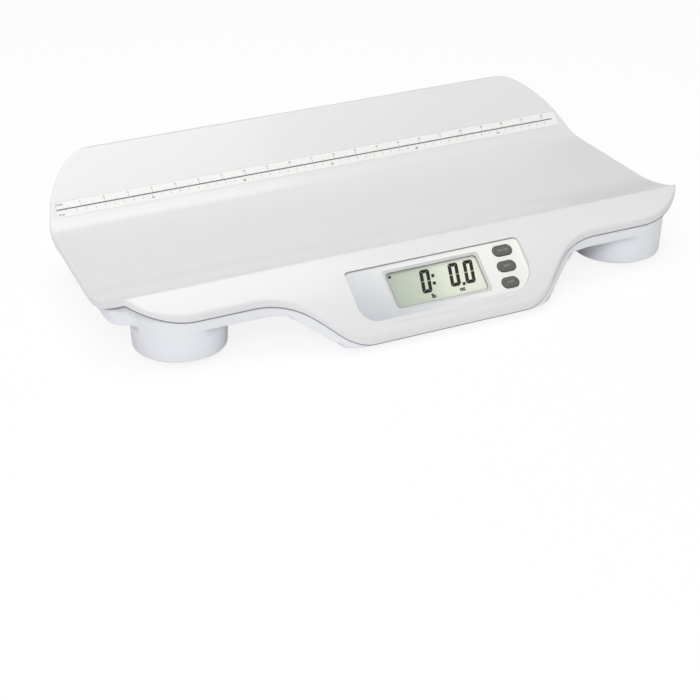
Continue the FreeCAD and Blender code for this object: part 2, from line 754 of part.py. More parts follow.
def makeBaseShell():
    reachX, reachY = "overallWidth", "overallDepth"
    behind = (baseRear, podCorner)
    upper = plan("baseUpper", "0", "baseInset", "undersideHeight", skyHeight, behind)
    level = value("undersideHeight") + near
    softUpper = rounded("baseUpperSoft", upper, "baseEdge", lambda box: box.ZMax < level)
    bulge = common(
        "bulgeBlock",
        plan("bulgePlan", "0", "baseInset", "0", f"{floorTop}+overlap"),
        bulgeSolid("bulgeOuter", "0", "bulgeUnderside", bulgeBack),
    )
    foot = value("bulgeUnderside") + near
    rear = value(bulgeBack) - near
    softBulge = rounded(
        "bulgeSoft", bulge, "bulgeEdge", lambda box: box.ZMax < foot and box.YMin < rear
    )
    podLow = value("podUnderside") + near
    widening = "podDraft/(creaseHeight-podUnderside)"
    pods = []
    for name, (x, y) in corners.items():
        top = "creaseHeight" if name.startswith("front") else "(undersideHeight+overlap)"
        height = f"({top}-podUnderside)"
        wide = f"podRadius+{height}*{widening}"
        drum = cone(f"pod_{name}", "podRadius", wide, height, x, y, "podUnderside")
        pods.append(rounded(f"podSoft_{name}", drum, "podEdge", lambda box: box.ZMax < podLow))
    block = fuse("baseBlock", [softUpper, softBulge] + pods)
    body = common("baseTrimmed", block, underTray("baseLimit", "shellWall+seamGap"))

    sky = f"{skyHeight}+overlap"
    behind = (f"{baseRear}+baseWall", f"({podCorner}-baseWall)")
    inside = plan("baseInside", "baseWall", "baseInset+baseWall", "0", sky, behind)
    upperRoom = box("roomUpper", f"-{reachX}", reachX, f"-{reachY}", reachY, floorTop, sky)
    bulgeRoom = bulgeSolid("bulgeRoom", "bulgeWall", boxFloor, f"{bulgeBack}-baseWall")
    room = common("baseRoom", inside, fuse("roomKeep", [upperRoom, bulgeRoom]))
    tools = [room, rimClearance()]
    for name, (x, y) in corners.items():
        height = f"({floorTop}+overlap-{podFloor})"
        inner = "podRadius-podWall"
        wide = f"{inner}+{height}*{widening}"
        tools.append(cone(f"podRoom_{name}", inner, wide, height, x, y, podFloor))
        opening = "cupRadius+footClearance"
        tools.append(cylinder(f"footHole_{name}", opening, f"{podFloor}+overlap", x, y, "0"))
    tools += doorway()
    tools.append(jackHole())
    hollow = cut("baseHollow", body, tools)

    posts = []
    holes = []
    for name, (x, y) in corners.items():
        for side, sign in (("Left", "-"), ("Right", "+")):
            at = (f"{x}{sign}bracketHoleSpread", y)
            height = f"{bracketBottom}-{podFloor}+overlap"
            post = (f"cellPost{side}_{name}", "bracketBossRadius", height, *at, f"{podFloor}-overlap")
            posts.append(cylinder(*post))
            bore = ("screwRadius+screwClearance/2", bracketBottom, *at, f"{podFloor}+overlap")
            holes.append(cylinder(f"cellPostHole{side}_{name}", *bore))
    for n, (x, y) in enumerate(shellScrewPlaces):
        low = "undersideHeight-overlap"
        wide = "screwHeadRadius+headClearance"
        land = ("bossRadius+bossLand", "screwBossHeight-seamGap/2")
        posts.append(cylinder(f"baseBoss{n}", *land, x, y, "undersideHeight"))
        bore = ("screwRadius+screwClearance", "screwBossHeight+2*overlap")
        holes.append(cylinder(f"baseHole{n}", *bore, x, y, low))
        holes.append(cylinder(f"headHole{n}", wide, "screwHeadHeight+headRecess+overlap", x, y, low))
    for n, (x, y) in enumerate(boardPlaces):
        height = "standoffHeight+overlap"
        posts.append(cylinder(f"boardPost{n}", "standoffRadius", height, x, y, f"{floorTop}-overlap"))
        low = f"{floorTop}+standoffHeight-{smallHoleDepth}"
        holes.append(cylinder(f"boardHole{n}", smallHole, f"{smallHoleDepth}+overlap", x, y, low))
    return keep(cut("baseShell", fuse("baseWithPosts", [hollow] + posts), holes), "base_shell")


def rimClearance():
    """Room for the tray's skirt, so that the base ends in a tongue inside it."""
    inset = "rimWall+seamGap"
    ringOuter = plan("seamOutside", "-overlap", "-overlap", "0", skyHeight)
    ringInner = plan("seamInside", inset, inset, deepFloor, f"{skyHeight}+overlap")
    wall = cut("seamRing", ringOuter, [ringInner])
    return cut("seamRoom", wall, [underTray("seamLimit", "rimHeight+seamGap")])


def doorway():
    """The battery doorway in the housing's floor: a slot with a ledge along each side."""
    gap = "doorClearance"
    start = f"{batteryFrontY}-{gap}"
    end = f"{bulgeBack}+overlap"
    top = f"{boxFloor}+{gap}"
    half = f"({doorHalf}+{gap})"
    through = box("doorOpening", f"-{half}", half, start, end, "bulgeUnderside-overlap", top)
    half = f"({flangeHalf}+{gap})"
    groove = box("doorGroove", f"-{half}", half, start, end, f"{flangeLow}-{gap}/2", top)
    return [through, groove]


jackTurn = Rotation(Vector(1, 0, 0), -90)  # a cylinder's axis along +Y
jackWallY = f"({back}-{baseRear})"


def jackHole():
    start = f"{jackWallY}-baseWall-overlap"
    length = "baseWall+2*overlap"
    return cylinder("jackHole", "jackRadius+fitGap", length, "jackOffset", start, "jackHeight", jackTurn)


boardPlaces = [
    (f"{sx}(mainBoardWidth/2-boardHoleInset)", f"mainBoardOffset{sy}(mainBoardDepth/2-boardHoleInset)")
    for sx in ("", "-")
    for sy in ("+", "-")
]
makeBaseShell()


# ---------------------------------------------------------------- feet and load cells
def makeCorner(name, x, y):
    pad = cylinder(f"padRound_{name}", "padRadius", "padHeight", x, y, "0")
    soft = rounded(f"footPad_{name}", pad, "padEdge", lambda box: box.ZMax < near)
    keep(soft, f"foot_pad_{name}")

    rim = f"({podFloor}+footClearance)"
    cup = cylinder(f"cupBody_{name}", "cupRadius", f"{rim}-padHeight", x, y, "padHeight")
    flange = cylinder(f"cupRim_{name}", "cupRadius+cupFlange", "cupWall", x, y, rim)
    hollow = cylinder(f"cupRoom_{name}", "cupRadius-cupWall", cupTop, x, y, "padHeight+cupWall")
    shell = cut(f"cupShell_{name}", fuse(f"cupSolid_{name}", [cup, flange]), [hollow])
    low = "(padHeight+cupWall/2)"
    stub = cylinder(f"cupStub_{name}", "stubRadius", f"{cellBottom}-{low}", x, y, low)
    keep(fuse(f"footCup_{name}", [shell, stub]), f"foot_cup_{name}")

    side = "cellSide/2"
    screwX = f"({side}-shimWidth/2)"
    plate = padBody(
        f"cellPlate_{name}",
        rectangle(side, side, radius="cellCorner"),
        "cellThickness",
        [
            rectangle("cellSlot/2", "cellTongue/2", "cellTongue/2+cellSlot/2", "0"),
            rectangle("cellSlot/2", "cellTongue/2", "-cellTongue/2-cellSlot/2", "0"),
            rectangle("cellTongue/2+cellSlot", "cellSlot/2", "0", "cellTongue/2+cellSlot/2"),
            (screwX, "0", "screwRadius+screwClearance"),
            (f"-{screwX}", "0", "screwRadius+screwClearance"),
        ],
    )
    place(plate, x, y, cellBottom)
    keep(plate, f"load_cell_{name}")

    spread = "bracketHoleSpread"
    bracket = padBody(
        f"bracketPlate_{name}",
        rectangle("bracketLength/2", "bracketWidth/2", radius="bracketCorner"),
        "bracketThickness",
        [
            (px, "0", "screwRadius+screwClearance")
            for px in (screwX, f"-{screwX}", spread, f"-{spread}")
        ],
    )
    place(bracket, x, y, bracketBottom)
    keep(bracket, f"cell_bracket_{name}")

    shims = []
    screws = []
    for side, sign in (("Right", "+"), ("Left", "-")):
        at = f"{x}{sign}{screwX}"
        strip = box(
            f"shim{side}_{name}",
            f"{at}-shimWidth/2",
            f"{at}+shimWidth/2",
            f"{y}-bracketWidth/2",
            f"{y}+bracketWidth/2",
            cellTop,
            bracketBottom,
        )
        hole = "screwRadius+screwClearance"
        bore = cylinder(f"shimBore{side}_{name}", hole, bracketBottom, at, y, cellBottom)
        shims.append(cut(f"shimPiece{side}_{name}", strip, [bore]))
        length = f"{bracketTop}-{cellBottom}"
        screws.append(screw(f"cellScrew{side}_{name}", at, y, bracketTop, length))
        post = f"{x}{sign}{spread}"
        length = "screwLength+bracketThickness"
        screws.append(screw(f"bracketScrew{side}_{name}", post, y, bracketTop, length))
    return shims, screws


def screw(name, x, y, seat, length, kind="screw"):
    """A pan-head screw that points down, its head on the seat."""
    cap = cylinder(name + "Head", f"{kind}HeadRadius", f"{kind}HeadHeight", x, y, seat)
    shank = cylinder(name + "Shank", f"{kind}Radius", f"{length}+overlap", x, y, f"{seat}-({length})")
    return fuse(name, [cap, shank])


allShims = []
cellScrews = []
for cornerName, (cornerX, cornerY) in corners.items():
    cornerShims, cornerScrews = makeCorner(cornerName, cornerX, cornerY)
    allShims += cornerShims
    cellScrews += cornerScrews
keep(group("cellShims", allShims), "load_cell_shims")
keep(group("cellScrews", cellScrews), "load_cell_screws")

# ---------------------------------------------------------------- shell screws
shellScrews = []
for n, (x, y) in enumerate(shellScrewPlaces):
    headLow = "(undersideHeight+headRecess)"
    cap = cylinder(f"shellHead{n}", "screwHeadRadius", "screwHeadHeight", x, y, headLow)
    length = f"{screwTop}-{headLow}-overlap"
    shank = cylinder(f"shellShank{n}", "screwRadius", length, x, y, f"{headLow}+overlap")
    shellScrews.append(fuse(f"shellScrew{n}", [cap, shank]))
keep(group("shellScrewSet", shellScrews), "shell_screws")

# ---------------------------------------------------------------- display stack
buttons = {
    "button_top": ("buttonTopX", "buttonTopRise", "buttonTopLength"),
    "button_middle": ("buttonMiddleX", "buttonMiddleRise", "buttonMiddleLength"),
    "button_low": ("buttonLowX", "buttonLowRise", "buttonLowLength"),
}


def stadium(x, rise, length, height):
    """A slot with round ends, as two straight runs and four quarter turns."""
    half = f"(({height})/2)"
    right, left = f"({x}+({length})/2-{half})", f"({x}-({length})/2+{half})"
    return [
        (right, f"{rise}-{half}", "0"),
        (f"{right}+{half}", rise, half),
        (right, f"{rise}+{half}", half),
        (left, f"{rise}+{half}", "0"),
        (f"{left}-{half}", rise, half),
        (left, f"{rise}-{half}", half),
    ]


window = ("windowOffset", "windowRise")
lcdTop = "(-plateThickness-flangeThickness)"
lcdBottom = f"({lcdTop}-lcdThickness)"


def windowFrame(shrink, radius):
    return rectangle(f"windowWidth/2-({shrink})", f"windowHeight/2-({shrink})", *window, radius=radius)


def makeDisplayPlate():
    gap = "buttonClearance"
    holes = [windowFrame("0", "windowRadius")]
    for x, rise, length in buttons.values():
        holes.append(stadium(x, rise, f"{length}+2*{gap}", f"buttonHeight+2*{gap}"))
    plate = padBody("displayPlateBody", plateOutline("0"), "plateThickness", holes)
    return keep(tilt(plate, "-plateThickness"), "display_plate")


def makeBezel():
    inner = windowFrame("bezelBorder", "windowRadius/2")
    outer = windowFrame("fitGap", "windowRadius")
    frame = prism("bezelFrame", outer, lcdTop, "-bezelRecess")
    skirt = windowFrame("-bezelFlange", "windowRadius")
    flange = prism("bezelFlangePlate", skirt, lcdTop, "-plateThickness")
    opening = prism("bezelOpening", inner, f"{lcdTop}-overlap", "overlap")
    return keep(tilt(cut("lcdBezel", fuse("bezelSolid", [frame, flange]), [opening])), "lcd_bezel")


def makeLcd():
    opening = windowFrame("bezelBorder+fitGap", "windowRadius/2")
    lens = padBody("lcdLensBody", opening, f"-lensRecess-{lcdTop}")
    keep(tilt(lens, lcdTop), "lcd_lens")
    panel = padBody("lcdPanelBody", windowFrame("lcdMargin", "windowRadius/2"), "lcdThickness")
    keep(tilt(panel, lcdBottom), "lcd_panel")
    strips = []
    for sign in ("+", "-"):
        middle = f"windowRise{sign}(windowHeight/2-lcdMargin-zebraWidth)"
        strip = box(
            f"zebra{len(strips)}",
            "windowOffset-windowWidth/2+zebraEnd",
            "windowOffset+windowWidth/2-zebraEnd",
            f"{middle}-zebraWidth/2",
            f"{middle}+zebraWidth/2",
            "-displayBoardDepth",
            lcdBottom,
        )
        strips.append(strip)
    keep(tilt(group("zebraStrips", strips)), "lcd_contact_strips")


def makeDisplayBoard():
    holes = [(x, rise, "smallScrewRadius+screwClearance") for x, rise in displayPosts]
    halves = ("displayBoardHalfWidth", "displayBoardHalfHeight")
    outline = rectangle(*halves, "displayBoardOffset", "0", "boardCorner")
    board = padBody("displayBoardBody", outline, "boardThickness", holes)
    keep(tilt(board, "-displayBoardDepth-boardThickness"), "display_board")
    back = "(-displayBoardDepth-boardThickness)"
    chips = [
        box(
            "displayDriver",
            "-2*driverLength",
            "-driverLength",
            "-driverLength/2",
            "driverLength/2",
            f"{back}-chipHeight",
            back,
        ),
        box(
            "ribbonHeader",
            "-ribbonWidth/2-headerWall",
            "ribbonWidth/2+headerWall",
            "ribbonRise-headerDepth/2",
            "ribbonRise+headerDepth/2",
            f"{back}-headerHeight",
            back,
        ),
    ]
    keep(tilt(group("displayChipSet", chips)), "display_chips")
    screws = []
    for n, (x, rise) in enumerate(displayPosts):
        seat = f"{back}-smallScrewHeadHeight"
        cap = cylinder(f"displayHead{n}", "smallScrewHeadRadius", "smallScrewHeadHeight", x, rise, seat)
        length = "smallScrewLength+overlap"
        shank = cylinder(f"displayShank{n}", "smallScrewRadius", length, x, rise, f"{back}-overlap")
        screws.append(fuse(f"displayScrew{n}", [cap, shank]))
    keep(tilt(group("displayScrewSet", screws)), "display_screws")


def makeButton(node, x, rise, length):
    low = "(-plateThickness-buttonFlangeGap-flangeThickness)"
    stemEnd = "(-displayBoardDepth+keyMatThickness+keyDomeHeight+buttonTravel+stemClearance)"
    cap = prism(f"{node}Cap", stadium(x, rise, length, "buttonHeight"), low, "buttonProud")
    flange = prism(
        f"{node}Flange",
        stadium(x, rise, f"{length}+2*buttonFlange", "buttonHeight+2*buttonFlange"),
        low,
        f"{low}+flangeThickness",
    )
    stem = cylinder(f"{node}Stem", "stemRadius", f"{low}-{stemEnd}+overlap", x, rise, stemEnd)
    body = fuse(f"{node}Body", [cap, flange, stem])
    top = value("buttonProud") - near
    keep(tilt(rounded(f"{node}Rounded", body, "buttonEdge", lambda box: box.ZMin > top)), node)


def makeKeyMat():
    xs = [entry[0] for entry in buttons.values()]
    middle = f"(({xs[0]}+{xs[2]})/2)"
    half = "(buttonTopLength/2+keyMatMargin/2)"
    rise = "((buttonTopRise+buttonLowRise)/2)"
    tall = "((buttonTopRise-buttonLowRise)/2+buttonHeight/2+keyMatMargin)"
    base = "-displayBoardDepth"
    outline = rectangle(half, tall, middle, rise, "boardCorner")
    sheetSolid = prism("keyMatSheet", outline, base, f"{base}+keyMatThickness")
    domes = []
    for n, (x, domeRise, _) in enumerate(buttons.values()):
        height = "keyDomeHeight+keyMatThickness/2"
        spot = (x, domeRise, f"{base}+keyMatThickness/2")
        domes.append(cone(f"keyDome_{n}", "keyDomeRadius", "keyDomeTopRadius", height, *spot))
    keep(tilt(fuse("keyMat", [sheetSolid] + domes)), "key_mat")


makeDisplayPlate()
makeBezel()
makeLcd()
makeDisplayBoard()
for buttonNode, (buttonX, buttonRise, buttonLength) in buttons.items():
    makeButton(buttonNode, buttonX, buttonRise, buttonLength)
makeKeyMat()


# ---------------------------------------------------------------- batteries
cellAxisZ = f"({boxFloor}+doorRoom+cellDiameter/2)"
cellRows = [f"({batteryFrontY}+boxWall+cellSpacing*{n + 0.5})" for n in range(2)]
alongXTurn = Rotation(Vector(0, 1, 0), 90)


def makeBatteryBox():
    rear = f"{batteryFrontY}+2*cellSpacing+2*boxWall"
    outer = box("boxOuter", f"-{boxHalf}", boxHalf, batteryFrontY, rear, boxFloor, boxTop)
    room = box(
        "boxRoom",
        f"-{doorHalf}",
        doorHalf,
        f"{batteryFrontY}+boxWall",
        f"{batteryFrontY}+2*cellSpacing+boxWall",
        f"{boxFloor}-overlap",
        f"{boxTop}-boxWall",
    )
    keep(cut("batteryBox", outer, [room]), "battery_box")


def makeBatteries():
    cells = []
    springs = []
    tabs = []
    for row, y in enumerate(cellRows):
        for side in (-1, 1):
            low = f"{side}*cellLength/2-cellLength/2"
            name = f"{row}{'Left' if side < 0 else 'Right'}"
            canLength = "cellLength-cellCapHeight-2*cellSlack"
            canSpot = (f"{low}+cellSlack", y, cellAxisZ, alongXTurn)
            can = cylinder(f"cellCan{name}", "cellDiameter/2", canLength, *canSpot)
            capSpot = (f"{low}+cellLength-cellSlack-2*cellCapHeight", y, cellAxisZ, alongXTurn)
            cap = cylinder(f"cellCap{name}", "cellCapRadius", "2*cellCapHeight", *capSpot)
            cells.append(fuse(f"aaCell{name}", [can, cap]))
        tabs.append(flatContact(f"flatTab{row}", y))
        springs.append(leafSpring(f"leaf{row}", y))
    keep(group("batteryCells", cells), "aa_batteries")
    keep(group("flatContacts", tabs), "flat_contacts")
    keep(group("leafContacts", springs), "spring_contacts")


def flatContact(name, y):
    """A plate against the cell's cap, with a foot and two side flanges to the end wall."""
    half = "contactWidth/2"
    foot = f"{boxFloor}+contactFoot"
    top = f"{foot}+contactHeight"
    plate = box(f"{name}Plate", "cellLength", doorHalf, f"{y}-{half}", f"{y}+{half}", foot, top)
    room = box(
        f"{name}Room",
        "cellLength+contactThickness",
        f"{doorHalf}+overlap",
        f"{y}-{half}+contactFlange",
        f"{y}+{half}-contactFlange",
        f"{foot}+contactFlange",
        f"{top}+overlap",
    )
    return cut(name, plate, [room])


def leafSpring(name, y):
    """A bent strip between the box's end wall and the cell, doubled back on itself."""
    wall, tip = f"(-{doorHalf})", "(-cellLength-cellSlack)"
    thin = "leafThickness"
    half = "(leafHeight/2)"
    steps = [
        (wall, f"{y}-{half}", "0"),
        (f"{wall}+{thin}", f"{y}-{half}", "0"),
        (f"{wall}+{thin}", f"{y}+{half}-2*{thin}", "0"),
        (f"{tip}-{thin}", y, "0"),
        (f"{tip}-{thin}", f"{y}-leafTail", "0"),
        (tip, f"{y}-leafTail", "0"),
        (tip, f"{y}+{thin}", "0"),
        (f"{wall}+{thin}", f"{y}+{half}", "0"),
        (wall, f"{y}+{half}", "0"),
    ]
    return prism(name, steps, f"{cellAxisZ}-leafWidth/2", f"{cellAxisZ}+leafWidth/2")


gripCount = 5  # grooves for a fingertip in the door's underside


def makeDoor():
    start, end = batteryFrontY, bulgeBack
    panel = box("doorPanel", f"-{doorHalf}", doorHalf, start, end, "bulgeUnderside", doorTop)
    low = f"{flangeLow}+doorClearance/2"
    flange = box("doorFlanges", f"-{flangeHalf}", flangeHalf, start, end, low, doorTop)
    grips = []
    for n in range(gripCount):
        far = f"({end}-gripSetback-{n}*gripPitch)"
        across = ("-gripHalf", "gripHalf", f"{far}-gripWidth", far)
        grips.append(box(f"doorGrip{n}", *across, "bulgeUnderside-overlap", "bulgeUnderside+gripDepth"))
    keep(cut("batteryDoor", fuse("doorSolid", [panel, flange]), grips), "battery_door")


makeBatteryBox()
makeBatteries()
makeDoor()


# ---------------------------------------------------------------- electronics in the base
boardLow = f"({floorTop}+standoffHeight)"
boardTop = f"({boardLow}+boardThickness)"
boardFront = "(mainBoardOffset-mainBoardDepth/2)"
boardRear = "(mainBoardOffset+mainBoardDepth/2)"


def makeMainBoard():
    halfX, halfY = "mainBoardWidth/2", "mainBoardDepth/2"
    holes = [
        (f"{sx}({halfX}-boardHoleInset)", f"{sy}({halfY}-boardHoleInset)", "smallScrewRadius+screwClearance")
        for sx in ("", "-")
        for sy in ("", "-")
    ]
    board = padBody("mainBoardBody", rectangle(halfX, halfY, radius="boardCorner"), "boardThickness", holes)
    place(board, "0", "mainBoardOffset", boardLow)
    keep(board, "main_board")
    chips = []
    for name, x, length, width in (
        ("converterChip", "converterX", "converterLength", "converterWidth"),
        ("controllerChip", "controllerX", "controllerSide", "controllerSide"),
    ):
        chips.append(boardBlock(name, x, "mainBoardOffset", length, width, "chipHeight"))
    keep(group("boardChips", chips), "main_chips")
    sockets = []
    for side in ("-", ""):
        middle = f"{side}({halfX}-socketInset-socketDepth/2)"
        for offset in ("mainBoardOffset-socketSpread", "mainBoardOffset+socketSpread"):
            spot = (middle, offset, "socketDepth", "socketWidth", "socketHeight")
            sockets.append(boardBlock(f"cellSocket{len(sockets)}", *spot))
    for name, y in (
        ("batterySocket", f"({boardFront}+socketInset+socketDepth/2)"),
        ("jackSocket", f"({boardRear}-socketInset-socketDepth/2)"),
    ):
        sockets.append(boardBlock(name, "batterySocketX", y, "socketWidth", "socketDepth", "socketHeight"))
    ribbonY = f"({boardFront}+ribbonSocketInset+ribbonSocketDepth/2)"
    wide = "ribbonWidth+2*headerWall"
    sockets.append(boardBlock("ribbonSocket", "0", ribbonY, wide, "ribbonSocketDepth", "headerHeight"))
    keep(group("boardSockets", sockets), "board_sockets")
    can = cylinder("buzzerCan", "buzzerRadius", "buzzerHeight", "buzzerX", "mainBoardOffset", boardTop)
    keep(can, "buzzer")
    screws = [
        screw(f"boardScrew{n}", x, y, boardTop, "smallScrewLength", "smallScrew")
        for n, (x, y) in enumerate(boardPlaces)
    ]
    keep(group("boardScrewSet", screws), "board_screws")


def boardBlock(name, x, y, length, width, height):
    """A rectangular component on the main board, about a point of it."""
    across = (f"{x}-({length})/2", f"{x}+({length})/2")
    along = (f"{y}-({width})/2", f"{y}+({width})/2")
    return box(name, *across, *along, boardTop, f"{boardTop}+{height}")


def makeJack():
    inner = f"({jackWallY}-baseWall)"
    body = box(
        "jackBody",
        "jackOffset-jackWidth/2",
        "jackOffset+jackWidth/2",
        f"{inner}-jackLength",
        inner,
        "jackHeight-jackFoot",
        "jackHeight+jackWidth/2",
    )

    def along(name, radius, start, end):
        spot = ("jackOffset", start, "jackHeight", jackTurn)
        return cylinder(name, radius, f"({end})-({start})", *spot)

    barrel = along("jackBarrel", "jackRadius", f"{inner}-overlap", f"{jackWallY}-jackRecess")
    bore = along("jackBoreTool", "jackBore", f"{inner}-jackBoreDepth", f"{jackWallY}+overlap")
    pin = along("jackPinRod", "jackPin", f"{inner}-jackBoreDepth-overlap", f"{inner}+jackPinReach")
    solid = cut("jackHollow", fuse("jackSolid", [body, barrel]), [bore])
    keep(fuse("powerJack", [solid, pin]), "power_jack")


def lead(name, stops, radius="leadRadius"):
    """A round lead along straight runs joined by tangent arcs."""
    points = [Vector(*(value(text) for text in stop)) for stop in stops]
    bend = value("leadBend")
    edges = []
    here = points[0]
    for before, corner, after in zip(points, points[1:], points[2:]):
        into = (corner - before).normalize()
        out = (after - corner).normalize()
        turn = into.getAngle(out)
        run = bend * math.tan(turn / 2)
        start, end = corner - into * run, corner + out * run
        middle = (out - into).normalize()
        apex = corner + middle * (bend / math.cos(turn / 2) - bend)
        edges.append(Part.LineSegment(here, start).toShape())
        edges.append(Part.Arc(start, apex, end).toShape())
        here = end
    edges.append(Part.LineSegment(here, points[-1]).toShape())
    path = Part.Wire(edges)
    section = Part.Wire(Part.makeCircle(value(radius), points[0], points[1] - points[0]))
    thing = doc.addObject("Part::Feature", name)
    thing.Shape = path.makePipeShell([section], True, False)
    return thing


def makeLeads():
    """Leads run along the base's floor and step up into the sockets on the board."""
    low = f"({floorTop}+leadRadius+leadClearance)"
    high = f"({boardTop}+socketHeight/2)"
    for name, (x, y) in corners.items():
        mirror = "-" if name.endswith("left") else ""
        inward = "+" if mirror else "-"
        socketY = f"(mainBoardOffset{'-' if name.startswith('front') else '+'}socketSpread)"
        edge = "(mainBoardWidth/2)"
        cellX = f"({x}{inward}cellSide/2)"
        riserX = f"({x}{inward}(cellSide/2+leadReach))"
        cellY = f"({y}+cellSide/2-leadInset)"
        cellZ = f"({cellBottom}+cellThickness/2)"
        stops = [
            (cellX, cellY, cellZ),
            (riserX, cellY, cellZ),
            (riserX, cellY, low),
            (riserX, socketY, low),
            (f"{mirror}({edge}+leadStep+leadRise)", socketY, low),
            (f"{mirror}({edge}+leadStep)", socketY, high),
            (f"{mirror}({edge}-socketInset)", socketY, high),
        ]
        keep(lead(f"cellLead_{name}", stops), f"cell_lead_{name}")
    runX = f"({boxHalf}+leadReach)"
    boxY = cellRows[1]
    feed = "batterySocketX"
    stops = [
        (boxHalf, boxY, cellAxisZ),
        (runX, boxY, cellAxisZ),
        (runX, boxY, low),
        (runX, f"{boardFront}-leadStep-leadRise-leadReach", low),
        (feed, f"{boardFront}-leadStep-leadRise-leadReach", low),
        (feed, f"{boardFront}-leadStep-leadRise", low),
        (feed, f"{boardFront}-leadStep", high),
        (feed, f"{boardFront}+socketInset", high),
    ]
    keep(lead("batteryLead", stops), "battery_lead")
    jackFront = f"({jackWallY}-baseWall-jackLength)"
    stops = [
        ("jackOffset", jackFront, "jackHeight-jackLeadDrop"),
        ("jackOffset", f"{jackFront}-leadReach", "jackHeight-jackLeadDrop"),
        ("jackOffset", f"{jackFront}-leadReach-leadFall", low),
        ("jackOffset", f"{jackFront}-leadReach-2*leadFall", low),
        (feed, f"{jackFront}-leadReach-2*leadFall", low),
        (feed, f"{boardRear}+leadStep+leadRise", low),
        (feed, f"{boardRear}+leadStep", high),
        (feed, f"{boardRear}-socketInset", high),
    ]
    keep(lead("jackLead", stops), "jack_lead")


def makeRibbon():
    """A flat cable: from the display board, down to the floor and up to the main board."""
    back = "(-displayBoardDepth-boardThickness-headerHeight)"
    half = "ribbonThickness/2"
    low = f"({floorTop}+leadClearance)"
    socketTop = f"({boardTop}+ribbonThickness+leadClearance)"
    startLow = inDisplay("ribbonRise", f"{back}-ribbonThickness")
    startHigh = inDisplay("ribbonRise", back)
    endLow = inDisplay("ribbonRise+ribbonRun", f"{back}-ribbonThickness")
    endHigh = inDisplay("ribbonRise+ribbonRun", back)
    landing = f"({bulgeBack}-baseWall-ribbonSetback)"
    lift = f"({boardFront}-ribbonLift)"
    entry = f"({boardFront}-ribbonEntry)"
    face = f"({boardFront}+ribbonSocketInset)"
    steps = [
        (*startLow, "0"),
        (*endLow, "0"),
        (landing, low, "0"),
        (lift, low, "0"),
        (entry, f"{socketTop}-ribbonThickness", "0"),
        (face, f"{socketTop}-ribbonThickness", "0"),
        (face, socketTop, "0"),
        (f"{entry}-{half}", socketTop, "0"),
        (f"{lift}-{half}", f"{low}+ribbonThickness", "0"),
        (f"{landing}+{half}", f"{low}+ribbonThickness", "0"),
        (*endHigh, "0"),
        (*startHigh, "0"),
    ]
    ribbon = prism("ribbonStrip", steps, "-ribbonWidth/2", "ribbonWidth/2", sectionTurn, alongX)
    keep(ribbon, "ribbon_cable")


makeMainBoard()
makeJack()
makeLeads()
makeRibbon()


# ---------------------------------------------------------------- check and write
doc.recompute()
for thing in doc.Objects:
    if {"Invalid", "Error"} & set(thing.State):
        raise SystemExit(f"{thing.Name} failed: {thing.State}")
for thing in nodes:
    if thing.Shape.isNull() or not thing.Shape.isValid():
        raise SystemExit(f"{thing.Label} has no valid shape")
os.makedirs("parts", exist_ok=True)
for thing in nodes:
    thing.Shape.exportStep(f"parts/{thing.Label}.step")
print(f"wrote {len(nodes)} nodes")
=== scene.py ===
import math

import bmesh
import bpy
from mathutils import Matrix, Vector


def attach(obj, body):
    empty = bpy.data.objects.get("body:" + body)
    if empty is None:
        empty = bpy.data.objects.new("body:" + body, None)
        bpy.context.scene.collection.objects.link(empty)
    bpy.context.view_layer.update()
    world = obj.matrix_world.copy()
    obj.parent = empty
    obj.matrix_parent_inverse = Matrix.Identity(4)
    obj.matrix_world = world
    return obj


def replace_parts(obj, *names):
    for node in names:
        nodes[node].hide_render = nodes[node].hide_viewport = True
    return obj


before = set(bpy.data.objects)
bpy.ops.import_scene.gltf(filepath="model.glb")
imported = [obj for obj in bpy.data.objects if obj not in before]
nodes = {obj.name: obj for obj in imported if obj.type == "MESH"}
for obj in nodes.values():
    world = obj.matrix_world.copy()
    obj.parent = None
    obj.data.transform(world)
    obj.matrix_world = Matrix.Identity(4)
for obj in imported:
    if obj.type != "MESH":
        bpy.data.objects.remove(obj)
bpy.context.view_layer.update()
scene = bpy.context.scene
mm = 0.001
print("frame loaded:", len(nodes), "nodes")


def addNode(tree, kind, settings=None, sockets=None):
    # settings come first, because some of them change a node's sockets
    node = tree.nodes.new(kind)
    for key, item in (settings or {}).items():
        if key == "stops":
            ramp = node.color_ramp
            while len(ramp.elements) < len(item):
                ramp.elements.new(0.5)
            for element, (place, colour) in zip(ramp.elements, item):
                element.position = place
                element.color = (*colour, 1)
        else:
            setattr(node, key, item)
    for key, item in (sockets or {}).items():
        source = item.socket if isinstance(item, Value) else item
        if isinstance(source, bpy.types.NodeSocket):
            tree.links.new(source, node.inputs[key])
        else:
            node.inputs[key].default_value = source
    return node


